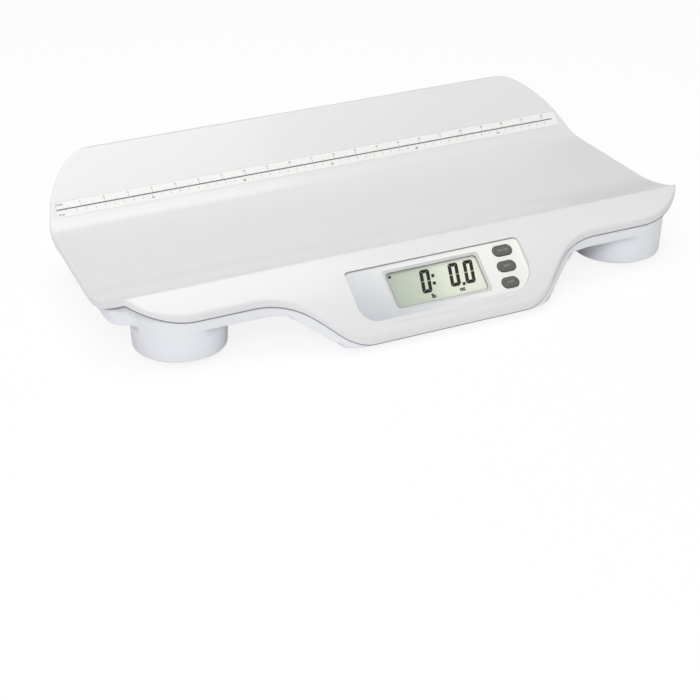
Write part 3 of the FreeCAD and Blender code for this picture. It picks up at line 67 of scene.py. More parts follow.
class Value:
    # one output socket; arithmetic on it adds Math nodes
    def __init__(self, tree, socket):
        self.tree = tree
        self.socket = socket

    def math(self, operation, *others, swap=False):
        terms = [self, *others]
        if swap:
            terms.reverse()
        node = addNode(self.tree, "ShaderNodeMath", {"operation": operation}, dict(enumerate(terms)))
        return Value(self.tree, node.outputs[0])

    def __add__(self, other):
        return self.math("ADD", other)

    def __radd__(self, other):
        return self.math("ADD", other, swap=True)

    def __sub__(self, other):
        return self.math("SUBTRACT", other)

    def __rsub__(self, other):
        return self.math("SUBTRACT", other, swap=True)

    def __mul__(self, other):
        return self.math("MULTIPLY", other)

    def __rmul__(self, other):
        return self.math("MULTIPLY", other, swap=True)

    def __truediv__(self, other):
        return self.math("DIVIDE", other)

    def __gt__(self, other):
        return self.math("GREATER_THAN", other)

    def __lt__(self, other):
        return self.math("LESS_THAN", other)

    def __abs__(self):
        return self.math("ABSOLUTE")

    def wave(self, pitch):
        # 0 to 1 saw tooth that repeats with the pitch
        return (self / pitch).math("FRACT")

    def limited(self):
        return self.math("MAXIMUM", 0.0).math("MINIMUM", 1.0)

    def span(self, start, end):
        # 0 up to the start, 1 from the end on
        return ((self - start) / (end - start)).limited()


class Finish:
    # a material around one Principled shader
    def __init__(self, name, **constants):
        self.material = bpy.data.materials.new(name)
        self.material.use_nodes = True
        self.tree = self.material.node_tree
        self.shader = self.tree.nodes["Principled BSDF"]
        for key, item in constants.items():
            self.shader.inputs[key.replace("_", " ")].default_value = item

    def add(self, kind, settings=None, sockets=None, output=0):
        node = addNode(self.tree, "ShaderNode" + kind, settings, sockets)
        return Value(self.tree, node.outputs[output])

    def feed(self, key, value):
        self.tree.links.new(value.socket, self.shader.inputs[key])
        return self

    def place(self):
        # object coordinates, in metres
        return self.add("TexCoord", output=3)

    def axes(self):
        split = addNode(self.tree, "ShaderNodeSeparateXYZ", sockets={0: self.place()})
        return [Value(self.tree, socket) for socket in split.outputs]

    def noise(self, scale, detail=2.0, roughness=0.5, stretch=None):
        where = self.place()
        if stretch:
            where = self.add("Mapping", sockets={"Vector": where, "Scale": stretch})
        sockets = {"Vector": where, "Scale": scale, "Detail": detail, "Roughness": roughness}
        return self.add("TexNoise", sockets=sockets)

    def ramp(self, factor, stops):
        return self.add("ValToRGB", {"stops": stops}, {"Fac": factor})

    def blend(self, factor, low, high):
        # a colour between two others
        low, high = (end if isinstance(end, Value) else (*end, 1) for end in (low, high))
        return self.add("Mix", {"data_type": "RGBA"}, {0: factor, 6: low, 7: high}, output=2)

    def bump(self, height, strength, distance=0.0001):
        # the distance is in metres
        sockets = {"Height": height, "Strength": strength, "Distance": distance}
        return self.feed("Normal", self.add("Bump", sockets=sockets))


def shaded(colour, factor):
    return tuple(min(1.0, c * factor) for c in colour)


# scales of the noise in every plastic, the finest one for its grain
moulding = {"cloud": 9.0, "dullness": 160.0, "dullnessRange": 0.12, "grain": 2600.0, "coatGloss": 0.08}
plastics = {  # material, colour, gloss, depth of grain, unevenness of colour, coat
    "tray": ("whiteTrayPlastic", (0.80, 0.80, 0.795), 0.34, 0.03, 0.006, 0.25),
    # painted light: the base's white is paler than the tray's to make up for the shade on the pods under the
    # tray, and cooler to stand in for light bounced off the floor
    "base": ("paleLitBasePlastic", (0.845, 0.855, 0.88), 0.36, 0.05, 0.008, 0.2),
    "button": ("greyButtonPlastic", (0.115, 0.117, 0.105), 0.5, 0.25, 0.05),
    "rubber": ("greyFootRubber", (0.05, 0.05, 0.053), 0.75, 0.5, 0.1),
    "mat": ("siliconeMat", (0.25, 0.25, 0.27), 0.6, 0.3, 0.05),
    "black": ("blackMouldedPlastic", (0.018, 0.018, 0.019), 0.5, 0.35, 0.15),
    "nylon": ("naturalNylon", (0.70, 0.68, 0.60), 0.45, 0.2, 0.03),
    "leadWhite": ("whiteLeadSheath", (0.68, 0.68, 0.66), 0.5, 0.2, 0.03),
    "leadRed": ("redLeadSheath", (0.42, 0.02, 0.02), 0.45, 0.2, 0.06),
    "leadBlack": ("blackLeadSheath", (0.012, 0.012, 0.012), 0.5, 0.2, 0.1),
}


def moulded(name, colour, gloss, grain, variation, coat=0.0):
    # plastic with a faint moulded grain and a little unevenness in its gloss
    finish = Finish(name, Roughness=gloss, Coat_Weight=coat, Coat_Roughness=moulding["coatGloss"])
    cloud = finish.noise(moulding["cloud"], 3.0)
    low, high = shaded(colour, 1 - variation), shaded(colour, 1 + variation)
    finish.feed("Base Color", finish.blend(cloud, low, high))
    dullness = finish.noise(moulding["dullness"], 3.0)
    finish.feed("Roughness", gloss + (dullness - 0.5) * moulding["dullnessRange"])
    return finish.bump(finish.noise(moulding["grain"]), grain)


brushing = {"scale": 90.0, "dark": 0.85, "dullnessRange": 0.3, "depth": 0.15}
metals = {  # material, colour, gloss, stretch of the brush marks
    "steel": ("zincPlatedSteel", (0.60, 0.60, 0.62), 0.35, (1.0, 8.0, 8.0)),
    "cell": ("machinedLoadCell", (0.72, 0.72, 0.74), 0.3, (8.0, 1.0, 8.0)),
    "nickel": ("nickelContact", (0.70, 0.68, 0.62), 0.2, (4.0, 4.0, 1.0)),
}


def brushed(name, colour, gloss, stretch):
    finish = Finish(name, Metallic=1.0)
    streak = finish.noise(brushing["scale"], 4.0, 0.6, stretch)
    finish.feed("Base Color", finish.blend(streak, shaded(colour, brushing["dark"]), colour))
    finish.feed("Roughness", gloss + (streak - 0.5) * brushing["dullnessRange"])
    return finish.bump(streak, brushing["depth"])


finishes = {key: moulded(*facts) for key, facts in plastics.items()}
finishes.update({key: brushed(*facts) for key, facts in metals.items()})
print("plastics and metals made")

plateTone = {  # the spans are in metres
    "across": (-0.095, 0.055), "acrossShare": 0.66, "upwards": (-0.158, -0.108), "upwardsShare": 0.44,
    "stops": [(0.0, (0.50, 0.52, 0.555)), (0.3, (0.66, 0.675, 0.70)),
              (0.62, (0.86, 0.865, 0.855)), (1.0, (0.93, 0.925, 0.875))],
    "flake": (0.98, 0.98, 1.0), "flakeScale": 3800.0, "flakeShare": 0.06,
}


def plateFinish():
    # plate: cool silver at the lower left, warm white towards the right
    finish = Finish("silverDisplayPlate", Coat_Weight=0.3, Coat_Roughness=0.06)
    x, y = finish.axes()[:2]
    across = x.span(*plateTone["across"]) * plateTone["acrossShare"]
    upwards = y.span(*plateTone["upwards"]) * plateTone["upwardsShare"]
    tone = finish.ramp((across + upwards).limited(), plateTone["stops"])
    flake = finish.noise(plateTone["flakeScale"], 1.0)
    finish.feed("Base Color", finish.blend(flake * plateTone["flakeShare"], tone, plateTone["flake"]))
    return finish.feed("Roughness", 0.32 + flake * 0.1)


panelTone = {
    "across": (-0.055, 0.055),  # metres
    "stops": [(0.0, (0.43, 0.495, 0.42)), (0.4, (0.60, 0.66, 0.53)),
              (0.62, (0.80, 0.84, 0.69)), (1.0, (0.88, 0.90, 0.77))],
    "mottle": (0.62, 0.68, 0.60), "mottleScale": 420.0, "mottleShare": 0.1,
}


def panelFinish():
    # liquid crystal glass: grey-green, paler to the right, faintly mottled
    finish = Finish("liquidCrystalGlass", Roughness=0.25)
    tone = finish.ramp(finish.axes()[0].span(*panelTone["across"]), panelTone["stops"])
    mottle = finish.noise(panelTone["mottleScale"]) * panelTone["mottleShare"]
    finish.feed("Base Color", finish.blend(mottle, tone, panelTone["mottle"]))
    return finish.feed("Roughness", 0.22 + finish.noise(600.0) * 0.1)


boardTracks = {  # pitches and bend in metres; a width is a share of the pitch
    "trackPitch": 0.0026, "trackWidth": 0.35, "rungPitch": 0.0031, "rungWidth": 0.3, "bend": 0.004,
    "mask": (0.012, 0.10, 0.035), "copper": (0.03, 0.19, 0.07),
}


def boardFinish():
    # green solder mask over a grid of copper tracks
    finish = Finish("greenCircuitBoard", Roughness=0.35)
    x, y = finish.axes()[:2]
    bend = finish.noise(70.0, 1.0) * boardTracks["bend"]
    tracks = (x + bend).wave(boardTracks["trackPitch"]) < boardTracks["trackWidth"]
    rungs = (y + bend).wave(boardTracks["rungPitch"]) < boardTracks["rungWidth"]
    copper = (tracks * (finish.noise(45.0, 0.0) > 0.5) + rungs * (finish.noise(38.0, 0.0) < 0.45)).limited()
    finish.feed("Base Color", finish.blend(copper, boardTracks["mask"], boardTracks["copper"]))
    finish.feed("Roughness", 0.4 - copper * 0.12)
    return finish.bump(copper, 0.3)


jacket = {"cellPitch": 0.05, "bandFrom": 0.74, "dark": (0.02, 0.02, 0.023), "band": (0.48, 0.22, 0.08)}


def cellJacketFinish():
    # AA cells: dark sleeve with a copper-coloured band at one end of each
    finish = Finish("batterySleeve", Metallic=0.6, Roughness=0.3)
    band = finish.axes()[0].wave(jacket["cellPitch"]) > jacket["bandFrom"]
    finish.feed("Base Color", finish.blend(band, jacket["dark"], jacket["band"]))
    return finish.feed("Roughness", 0.28 + finish.noise(300.0) * 0.1)


cable = {"corePitch": 0.00127, "markedEdge": -0.0068, "ridge": 0.0003}  # metres


def ribbonFinish():
    # flat cable: grey conductors side by side, one edge marked red
    finish = Finish("flatRibbonCable", Roughness=0.45)
    x = finish.axes()[0]
    cores = abs(x.wave(cable["corePitch"]) - 0.5) * 2.0
    grey = finish.blend(cores, (0.50, 0.50, 0.52), (0.36, 0.36, 0.38))
    finish.feed("Base Color", finish.blend(x < cable["markedEdge"], grey, (0.45, 0.04, 0.04)))
    finish.feed("Roughness", 0.4 + cores * 0.1)
    return finish.bump(1 - cores, 0.6, cable["ridge"])


def filmFinish():
    # white printed film of the measuring strip
    finish = Finish("whiteStripFilm", Roughness=0.38)
    fibre = finish.noise(500.0, 3.0)
    finish.feed("Base Color", finish.blend(fibre, (0.885, 0.885, 0.865), (0.91, 0.91, 0.895)))
    finish.feed("Roughness", 0.34 + fibre * 0.1)
    return finish.bump(fibre, 0.03)


def windowFinish():
    # clear hard window: nearly invisible but for its reflections
    finish = Finish("clearWindow", Alpha=0.02, IOR=1.49)
    smear = finish.noise(40.0)
    finish.feed("Base Color", finish.blend(smear, (0.90, 0.93, 0.90), (0.96, 0.97, 0.95)))
    return finish.feed("Roughness", 0.04 + smear * 0.04)


def bezelFinish():
    finish = Finish("greyBezelPlastic", Coat_Weight=0.2, Coat_Roughness=0.1)
    cloud = finish.noise(60.0)
    finish.feed("Base Color", finish.blend(cloud, (0.60, 0.61, 0.61), (0.68, 0.69, 0.68)))
    finish.feed("Roughness", 0.35 + cloud * 0.1)
    return finish.bump(finish.noise(2400.0), 0.05)


inks = {
    "ink": ("greyScaleInk", (0.10, 0.10, 0.105)),
    "legend": ("paleButtonInk", (0.42, 0.42, 0.40)),
    "segment": ("blackSegment", (0.0035, 0.004, 0.0035)),
}


def inkFinish(name, colour):
    finish = Finish(name, Specular_IOR_Level=0.02)
    cover = finish.noise(900.0)
    finish.feed("Base Color", finish.blend(cover, shaded(colour, 0.85), colour))
    return finish.feed("Roughness", 0.45 + cover * 0.1)


finishes.update({
    "plate": plateFinish(), "panel": panelFinish(), "board": boardFinish(), "sleeve": cellJacketFinish(),
    "ribbon": ribbonFinish(), "film": filmFinish(), "window": windowFinish(), "bezel": bezelFinish(),
})
finishes.update({key: inkFinish(*facts) for key, facts in inks.items()})


def dress(piece, finish):
    piece.data.materials.clear()
    piece.data.materials.append(finishes[finish].material)


nodeFinish = {
    "top_shell": "tray", "base_shell": "base", "battery_door": "base", "measuring_strip": "film",
    "display_plate": "plate", "lcd_bezel": "bezel", "lcd_lens": "window", "lcd_panel": "panel",
    "lcd_contact_strips": "mat", "key_mat": "mat", "display_board": "board", "main_board": "board",
    "display_chips": "black", "main_chips": "black", "buzzer": "black", "power_jack": "black",
    "battery_box": "black", "board_sockets": "nylon", "aa_batteries": "sleeve", "spring_contacts": "nickel",
    "flat_contacts": "nickel", "ribbon_cable": "ribbon", "battery_lead": "leadRed", "jack_lead": "leadBlack",
}
startsWith = {  # the longer of two alike starts comes first
    "button_": "button", "foot_pad": "rubber", "foot_cup": "base", "cell_bracket": "steel",
    "cell_lead": "leadWhite", "load_cell_s": "steel", "load_cell": "cell",
}
for nodeName, node in nodes.items():
    finish = nodeFinish.get(nodeName)
    if finish is None:
        finish = next((kind for start, kind in startsWith.items() if nodeName.startswith(start)), "steel")
    dress(node, finish)
print("CAD nodes dressed")


# shapes: points are in millimetres until addPiece makes them metres

mergeReach = 1e-7  # metres


def addPiece(name, points, faces, finish):
    mesh = bpy.data.meshes.new(name)
    mesh.from_pydata([Vector(p) * mm for p in points], [], faces)
    return linkPiece(name, mesh, finish)


def addObject(name, data):
    item = bpy.data.objects.new(name, data)
    scene.collection.objects.link(item)
    return item


def linkPiece(name, mesh, finish, body="scale_body"):
    mesh.validate()
    piece = addObject(name, mesh)
    dress(piece, finish)
    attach(piece, body)
    return piece


def evaluatedMesh(carrier):
    graph = bpy.context.evaluated_depsgraph_get()
    graph.update()
    return bpy.data.meshes.new_from_object(carrier.evaluated_get(graph))


def bake(piece):
    # the piece's modifiers become its mesh
    mesh = evaluatedMesh(piece)
    piece.modifiers.clear()
    old = piece.data
    piece.data = mesh
    bpy.data.meshes.remove(old)


def curveMesh(curve):
    # a text or a path as a plain mesh
    carrier = addObject(curve.name, curve)
    mesh = evaluatedMesh(carrier)
    bpy.data.objects.remove(carrier)
    return mesh


def softShade(piece, sharpFrom=30):
    for polygon in piece.data.polygons:
        polygon.use_smooth = True
    piece.data.set_sharp_from_angle(angle=math.radians(sharpFrom))


def faceOut(piece):
    work = bmesh.new()
    work.from_mesh(piece.data)
    bmesh.ops.remove_doubles(work, verts=work.verts, dist=mergeReach)
    bmesh.ops.recalc_face_normals(work, faces=work.faces)
    work.to_mesh(piece.data)
    work.free()


def placed(points, placing):
    return [placing @ Vector(p) for p in points]


def bandFaces(below, above, count, closed=True):
    # faces between two rows of points, each given by its first point's number
    steps = [(n, (n + 1) % count) for n in range(count if closed else count - 1)]
    return [(below + n, below + after, above + after, above + n) for n, after in steps]


def slab(outline, low, high):
    # points and faces of a straight-sided block over an outline
    count = len(outline)
    points = [(x, y, low) for x, y in outline] + [(x, y, high) for x, y in outline]
    faces = [list(range(count))[::-1], list(range(count, 2 * count))]
    return points, faces + bandFaces(0, count, count)


def rectangle(halfX, halfY):
    return [(-halfX, -halfY), (halfX, -halfY), (halfX, halfY), (-halfX, halfY)]


def roundedBox(halfX, halfY, centre, radii, steps=12):
    # outline from the lower right corner round to the left; radii in that order
    signs = ((1, -1), (1, 1), (-1, 1), (-1, -1))
    outline = []
    for corner, ((sideX, sideY), radius) in enumerate(zip(signs, radii)):
        cx = centre[0] + sideX * (halfX - radius)
        cy = centre[1] + sideY * (halfY - radius)
        for n in range(steps + 1):
            angle = math.radians(-90 + 90 * corner + 90 * n / steps)
            outline.append((cx + radius * math.cos(angle), cy + radius * math.sin(angle)))
    return outline


def sind(angle):
    return math.sin(math.radians(angle))


def cosd(angle):
    return math.cos(math.radians(angle))


def tand(angle):
    return math.tan(math.radians(angle))


def shareOf(value, start, end):
    # 0 up to the start, 1 from the end on
    return min(max((value - start) / (end - start), 0.0), 1.0)


# the tray: one profile from front to back, cut off by a plan outline with a rolled rim

tray = {
    "width": 625.0, "depth": 335.0, "frontCorner": 72.0, "backCorner": 88.0, "sideTaper": 4.2,
    "housingReach": 41.5, "housingFlat": 81.0, "housingAngle": 37.0, "outerBend": 60.0, "innerBend": 83.0,
    "creaseSetback": 71.5, "creaseHeight": 70.4, "creaseSoftness": 2.4,
    "apronSlope": 21.3, "apronRadius": 155.0, "troughRise": 31.8, "troughRadius": 132.2,
    "floorSlope": 4.0, "bendRadius": 38.0, "backSlope": 42.5, "stripSetback": 52.0, "stripHeight": 73.7,
    "lipRadius": 5.0, "wall": 3.2, "edgeRadius": 1.9, "edgeSteps": 6, "sharpFrom": 38,
    "rimHeight": 6.9, "rimWall": 2.6, "rimStraight": 3.0, "rimOuterRound": 0.7, "rimRoundMiddle": 0.2,
    "rimInnerBevel": 0.4, "rimSide": 0.45, "rimFades": (-95.0, -20.0),
}
outlineSteps = {  # into how many parts each stretch of the outline is cut
    "housing": 8, "outerBend": 18, "flare": 8, "innerBend": 20, "front": 6, "beforeCrease": 26,
    "afterCrease": 22, "side": 52, "backCorner": 80, "back": 12,
}
trayFront = -tray["depth"] / 2
trayBack = tray["depth"] / 2
creaseY = trayFront + tray["creaseSetback"]
stripY = trayBack - tray["stripSetback"]
apronY = creaseY + tray["apronRadius"] * sind(tray["apronSlope"])
apronZ = tray["creaseHeight"] - tray["apronRadius"] * cosd(tray["apronSlope"])
troughY = creaseY + tray["troughRadius"] * sind(tray["troughRise"])
troughZ = tray["creaseHeight"] + tray["troughRadius"] * cosd(tray["troughRise"])
floorY = troughY + tray["troughRadius"] * sind(tray["floorSlope"])
floorZ = troughZ - tray["troughRadius"] * cosd(tray["floorSlope"])
# the floor's and the back's slopes meet at bendY, where an arc joins them
floorRise = tand(tray["floorSlope"])
backRise = tand(tray["backSlope"])
bendY = (floorZ - tray["stripHeight"] - floorRise * floorY + backRise * stripY) / (backRise - floorRise)
bendZ = floorZ + floorRise * (bendY - floorY)
bendRun = tray["bendRadius"] * tand((tray["backSlope"] - tray["floorSlope"]) / 2)
bendStart = bendY - bendRun * cosd(tray["floorSlope"])
bendEnd = bendY + bendRun * cosd(tray["backSlope"])
bendCentreY = bendStart - tray["bendRadius"] * sind(tray["floorSlope"])
bendCentreZ = bendZ - bendRun * sind(tray["floorSlope"]) + tray["bendRadius"] * cosd(tray["floorSlope"])
lipY = trayBack - tray["lipRadius"] * (1 + sind(tray["backSlope"]))
lipZ = tray["stripHeight"] + backRise * (lipY - stripY)
lipCentreY = trayBack - tray["lipRadius"]
lipCentreZ = lipZ - tray["lipRadius"] * cosd(tray["backSlope"])


def sharpHeight(y):
    # the tray's surface from front to back: apron, trough, floor, bend, back and lip
    if y <= creaseY:
        return apronZ + math.sqrt(tray["apronRadius"] ** 2 - (y - apronY) ** 2)
    if y <= floorY:
        return troughZ - math.sqrt(tray["troughRadius"] ** 2 - (y - troughY) ** 2)
    if y <= bendStart:
        return floorZ + floorRise * (y - floorY)
    if y <= bendEnd:
        return bendCentreZ - math.sqrt(tray["bendRadius"] ** 2 - (y - bendCentreY) ** 2)
    if y <= lipY:
        return tray["stripHeight"] + backRise * (y - stripY)
    return lipCentreZ + math.sqrt(max(tray["lipRadius"] ** 2 - (y - lipCentreY) ** 2, 0.0))


def trayHeight(y):
    # the same surface with its front crease a little rounded
    soft = tray["creaseSoftness"]
    offset = abs(y - creaseY)
    if offset >= soft:
        return sharpHeight(y)
    share = (soft - offset) ** 2 / (4 * soft)
    return sharpHeight(y) - share * (tand(tray["apronSlope"]) + tand(tray["troughRise"]))


def halfOutline(inset):
    # right half of the plan outline, from the front middle to the back middle
    angle = tray["housingAngle"]
    taper = tray["sideTaper"]
    bends = tray["outerBend"] + tray["innerBend"]
    outer = tray["outerBend"] - inset
    inner = tray["innerBend"] + inset
    sideFront = trayFront + tray["housingReach"]
    innerY = sideFront - tray["innerBend"]
    drop = tray["housingReach"] - bends * (1 - cosd(angle))
    flareEnd = tray["housingFlat"] + bends * sind(angle) + drop / tand(angle)
    corner = tray["frontCorner"] - inset
    cornerX = tray["width"] / 2 - tray["frontCorner"]
    cornerY = sideFront + tray["frontCorner"]
    rear = tray["backCorner"] - inset
    rearY = trayBack - tray["backCorner"]
    shift = tray["backCorner"] - tray["frontCorner"]
    rearX = cornerX - shift * cosd(taper) - (rearY - cornerY + shift * sind(taper)) * tand(taper)
    points = [(0.0, trayFront + inset)]

    def straight(end, count):
        start = points[-1]
        for n in range(1, count + 1):
            share = n / count
            points.append((start[0] + (end[0] - start[0]) * share, start[1] + (end[1] - start[1]) * share))

    def arc(cx, cy, radius, angles):
        points.extend((cx + radius * cosd(a), cy + radius * sind(a)) for a in angles)

    def spread(start, end, count):
        return [start + (end - start) * n / count for n in range(1, count + 1)]

    steps = outlineSteps
    straight((tray["housingFlat"], trayFront + inset), steps["housing"])
    outerAngles = spread(-90, angle - 90, steps["outerBend"])
    arc(tray["housingFlat"], trayFront + tray["outerBend"], outer, outerAngles)
    straight((flareEnd - inner * sind(angle), innerY + inner * cosd(angle)), steps["flare"])
    arc(flareEnd, innerY, inner, spread(90 + angle, 90, steps["innerBend"]))
    straight((cornerX, sideFront + inset), steps["front"])
    # points on the softened crease itself, so that the rim follows it
    creaseYs = [creaseY + tray["creaseSoftness"] * k for k in (-1, -0.5, 0, 0.5, 1)]
    creaseAngles = [math.degrees(math.asin((y - cornerY) / corner)) for y in creaseYs]
    arc(cornerX, cornerY, corner, spread(-90, creaseAngles[0], steps["beforeCrease"])[:-1] + creaseAngles)
    arc(cornerX, cornerY, corner, spread(creaseAngles[-1], taper, steps["afterCrease"]))
    straight((rearX + rear * cosd(taper), rearY + rear * sind(taper)), steps["side"])
    arc(rearX, rearY, rear, spread(taper, 90, steps["backCorner"]))
    straight((0.0, trayBack - inset), steps["back"])
    return points


def ruledFaces(half, first, flip):
    # strips that run straight across between the two halves of one ring
    last = len(half) - 1
    left = [0] + [2 * last - n for n in range(1, last)] + [last]
    rows = []
    for n in range(last + 1):
        if rows and abs(half[n][1] - half[rows[-1][-1]][1]) < 1e-6:  # at the same y
            rows[-1].append(n)
        else:
            rows.append([n])
    faces = []
    for lower, above in zip(rows, rows[1:]):
        upper = above if half[above[-1]][0] < half[above[0]][0] else above[:1]
        loop = lower + upper + [left[n] for n in reversed(upper)] + [left[n] for n in reversed(lower)]
        face = list(dict.fromkeys(first + n for n in loop))
        if len(face) > 2:
            faces.append(face[::-1] if flip else face)
    return faces


def rimDrop(drop, y):
    # the rim is full in front and thinner along the sides and the back
    edge = tray["edgeRadius"]
    share = shareOf(y, *tray["rimFades"])
    return edge + (drop - edge) * (1 - (1 - tray["rimSide"]) * share * share * (3 - 2 * share))


def makeTray():
    edge, foot, wall = tray["edgeRadius"], tray["rimHeight"], tray["rimWall"]
    outer, middle, inner = tray["rimOuterRound"], tray["rimRoundMiddle"], tray["rimInnerBevel"]
    quarter = [90 * n / tray["edgeSteps"] for n in range(tray["edgeSteps"] + 1)]
    # each ring is an inset from the outline and a drop below the surface
    rings = [(edge * (1 - sind(turn)), edge * (1 - cosd(turn))) for turn in quarter]
    rings += [(0.0, foot - tray["rimStraight"]), (0.0, foot - outer), (middle, foot - middle), (outer, foot)]
    rings += [(wall - inner, foot), (wall, foot - inner), (wall, tray["wall"])]
    points = []
    faces = []
    for inset, drop in rings:
        half = halfOutline(inset)
        ring = half + [(-x, y) for x, y in half[-2:0:-1]]
        fades = edge < drop and drop != tray["wall"]
        points += [(x, y, trayHeight(y) - (rimDrop(drop, y) if fades else drop)) for x, y in ring]
    count = len(ring)
    for level in range(len(rings) - 1):
        faces += bandFaces((level + 1) * count, level * count, count)
    faces += ruledFaces(halfOutline(rings[0][0]), 0, False)
    faces += ruledFaces(halfOutline(rings[-1][0]), (len(rings) - 1) * count, True)
    piece = addPiece("trayShell", points, faces, "tray")
    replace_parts(piece, "top_shell")
    return piece


trayPiece = makeTray()
print("tray shell made:", len(trayPiece.data.polygons), "faces")


# the base: its front corners are drawn in to the pods

pod = {
    "x": 240.5, "y": -80.0, "radius": 45.9, "growth": 0.063,  # the radius grows by this much a millimetre
    "underside": 36.8, "ledge": 0.2,
    "frontTurn": 0.5, "turn": (74.0, 92.0), "leftOver": 0.001,  # fully drawn in up to the turn's start
    "flush": 0.6, "flushDepth": 12.0, "flushPast": 4.0,  # where base and pod are shaded as one
}


def seenFromPod(vertex):
    # where a base vertex stands about the axis of its front pod; a turn of 0 faces the front
    x, y, z = vertex.co / mm
    across = abs(x) - pod["x"]
    along = pod["y"] - y
    surface = pod["radius"] + pod["growth"] * (z - pod["underside"])
    return x, z, across, along, surface, math.degrees(math.atan2(across, along))


def drawIn(mesh):
    start, end = pod["turn"]
    for vertex in mesh.vertices:
        x, z, across, along, surface, turn = seenFromPod(vertex)
        reach = math.hypot(across, along)
        if z < pod["underside"] - pod["ledge"] or reach <= surface or not pod["frontTurn"] < turn < end:
            continue
        share = shareOf(turn, start, end) ** 2
        scale = (surface + (reach - surface) * max(share, pod["leftOver"])) / reach
        vertex.co.x = math.copysign(pod["x"] + across * scale, x) * mm
        vertex.co.y = (pod["y"] - along * scale) * mm


def shadeAsCone(mesh):
    # where base and pod run flush they are shaded as one cone
    lowest = pod["underside"] - pod["flushDepth"]
    outward = {}
    for vertex in mesh.vertices:
        x, z, across, along, surface, turn = seenFromPod(vertex)
        near = abs(math.hypot(across, along) - surface) < pod["flush"]
        if near and pod["frontTurn"] < turn < pod["turn"][0] + pod["flushPast"] and lowest < z:
            normal = Vector((math.copysign(across, x), -along, -pod["growth"] * pod["radius"]))
            outward[vertex.index] = normal.normalized()
    flush = [face.index for face in mesh.polygons if all(n in outward for n in face.vertices)]
    for face in (mesh.polygons[n] for n in flush):
        if face.normal.dot(outward[face.vertices[0]]) < 0:
            face.flip()
    mesh.update()
    normals = [Vector((0.0, 0.0, 0.0)) for loop in mesh.loops]  # zero leaves the usual normal
    for face in (mesh.polygons[n] for n in flush):
        for corner in face.loop_indices:
            normals[corner] = outward[mesh.loops[corner].vertex_index]
    mesh.normals_split_custom_set(normals)


def makeBase():
    mesh = nodes["base_shell"].data.copy()
    mesh.name = "baseShell"
    drawIn(mesh)
    piece = linkPiece("baseShell", mesh, "base")
    faceOut(piece)
    softShade(piece)
    shadeAsCone(mesh)
    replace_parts(piece, "base_shell")


seam = {
    "insets": (0.6, 2.9), "drops": (6.75, 8.35), "end": -62.0,
    "fades": (-97.0, -67.0), "sinks": 5.0, "sharpFrom": 40,  # over the fades it sinks in under the rim
}


def makeSeam():
    # dark strip in the gap between the tray's rim and the base, along the front: painted shade, standing in
    # for the shadow in that gap
    (outer, inner), (top, foot) = seam["insets"], seam["drops"]
    corners = ((outer, top), (inner, top), (inner, foot), (outer, foot))
    count = sum(1 for x, y in halfOutline(outer) if y < seam["end"])
    points = []
    for inset, drop in corners:
        half = []
        pairs = zip(halfOutline(inset), halfOutline(inset + seam["sinks"]))
        for (x, y), (deepX, deepY) in list(pairs)[:count]:
            share = shareOf(y, *seam["fades"])
            half.append((x + (deepX - x) * share, y + (deepY - y) * share))
        row = [(-x, y) for x, y in reversed(half[1:])] + half
        points += [(x, y, trayHeight(y) - (rimDrop(drop, y) if drop == top else drop)) for x, y in row]
    length = len(row)
    sides = range(len(corners))
    faces = [[side * length for side in sides], [side * length + length - 1 for side in reversed(sides)]]
    for side in sides:
        faces += bandFaces(side * length, (side + 1) % len(corners) * length, length, closed=False)
    piece = addPiece("seamShadeStrip", points, faces, "mat")
    faceOut(piece)
    softShade(piece, seam["sharpFrom"])


makeBase()
makeSeam()
print("base shell and gasket made")


# the display, in its own tilted plane: x across, y up the slope, levels above the plate's face

display = {
    "setback": 30.6, "height": 41.6, "angle": 39.9, "panelLevel": -2.6, "gap": 0.2,
    "plateHalf": 27.0, "plateLeft": -89.0, "plateRight": 98.0,
    "radii": (26.0, 5.0, 5.0, 18.0), "cornerSteps": 14,
    "grooveLeft": 0.5, "grooveTop": 0.6, "plateThickness": 1.5, "windowCentre": (0.3, 0.2),
    "windowTop": -0.4, "windowThickness": 0.8, "glassThickness": 2.4,
    "bezelHalf": (51.7, 21.3), "bezelRadius": 3.6, "bezelInner": (49.0, 18.8), "bezelInnerRadius": 3.8,
    "holeShare": -0.03, "windowShare": 1.02, "glassShare": 0.8,  # see bezelOutline
    "collarBelow": 1.2,  # how far the collar's top lies under the tray's surface
}
recess = {  # the levels that each cutter spans, and half the strip's pocket
    "plate": (-9.0, 12.0), "holes": (-4.0, 2.0), "strip": (-0.55, 3.0), "stripHalf": (289.15, 8.4),
}
displayOrigin = Vector((0, trayFront + display["setback"], display["height"]))
onDisplay = Matrix.Translation(displayOrigin) @ Matrix.Rotation(math.radians(display["angle"]), 4, "X")
onStrip = Matrix.Translation((0, stripY, tray["stripHeight"]))
onStrip @= Matrix.Rotation(math.radians(tray["backSlope"]), 4, "X")


def surfaceLift(rise):
    # the tray's surface above the display's plane, and the slope's y there
    sine, cosine = sind(display["angle"]), cosd(display["angle"])
    y = displayOrigin.y + rise * cosine
    for attempt in range(8):  # by then it has settled
        lift = (sharpHeight(y) - displayOrigin.z - rise * sine) / cosine
        y = displayOrigin.y + rise * cosine - lift * sine
    return lift, y


def displaySlab(name, outline, low, high, finish):
    points, faces = slab(outline, low, high)
    return addPiece(name, placed(points, onDisplay), faces, finish)


def plateOutline(grow, groove=0.0):
    # a groove is a wider gap along the plate's left and top
    left = display["plateLeft"] - grow - groove * display["grooveLeft"]
    right = display["plateRight"] + grow
    low = -display["plateHalf"] - grow
    high = display["plateHalf"] + grow + groove * display["grooveTop"]
    centre = ((left + right) / 2, (low + high) / 2)
    radii = [radius + grow for radius in display["radii"]]
    return roundedBox((right - left) / 2, (high - low) / 2, centre, radii, display["cornerSteps"])


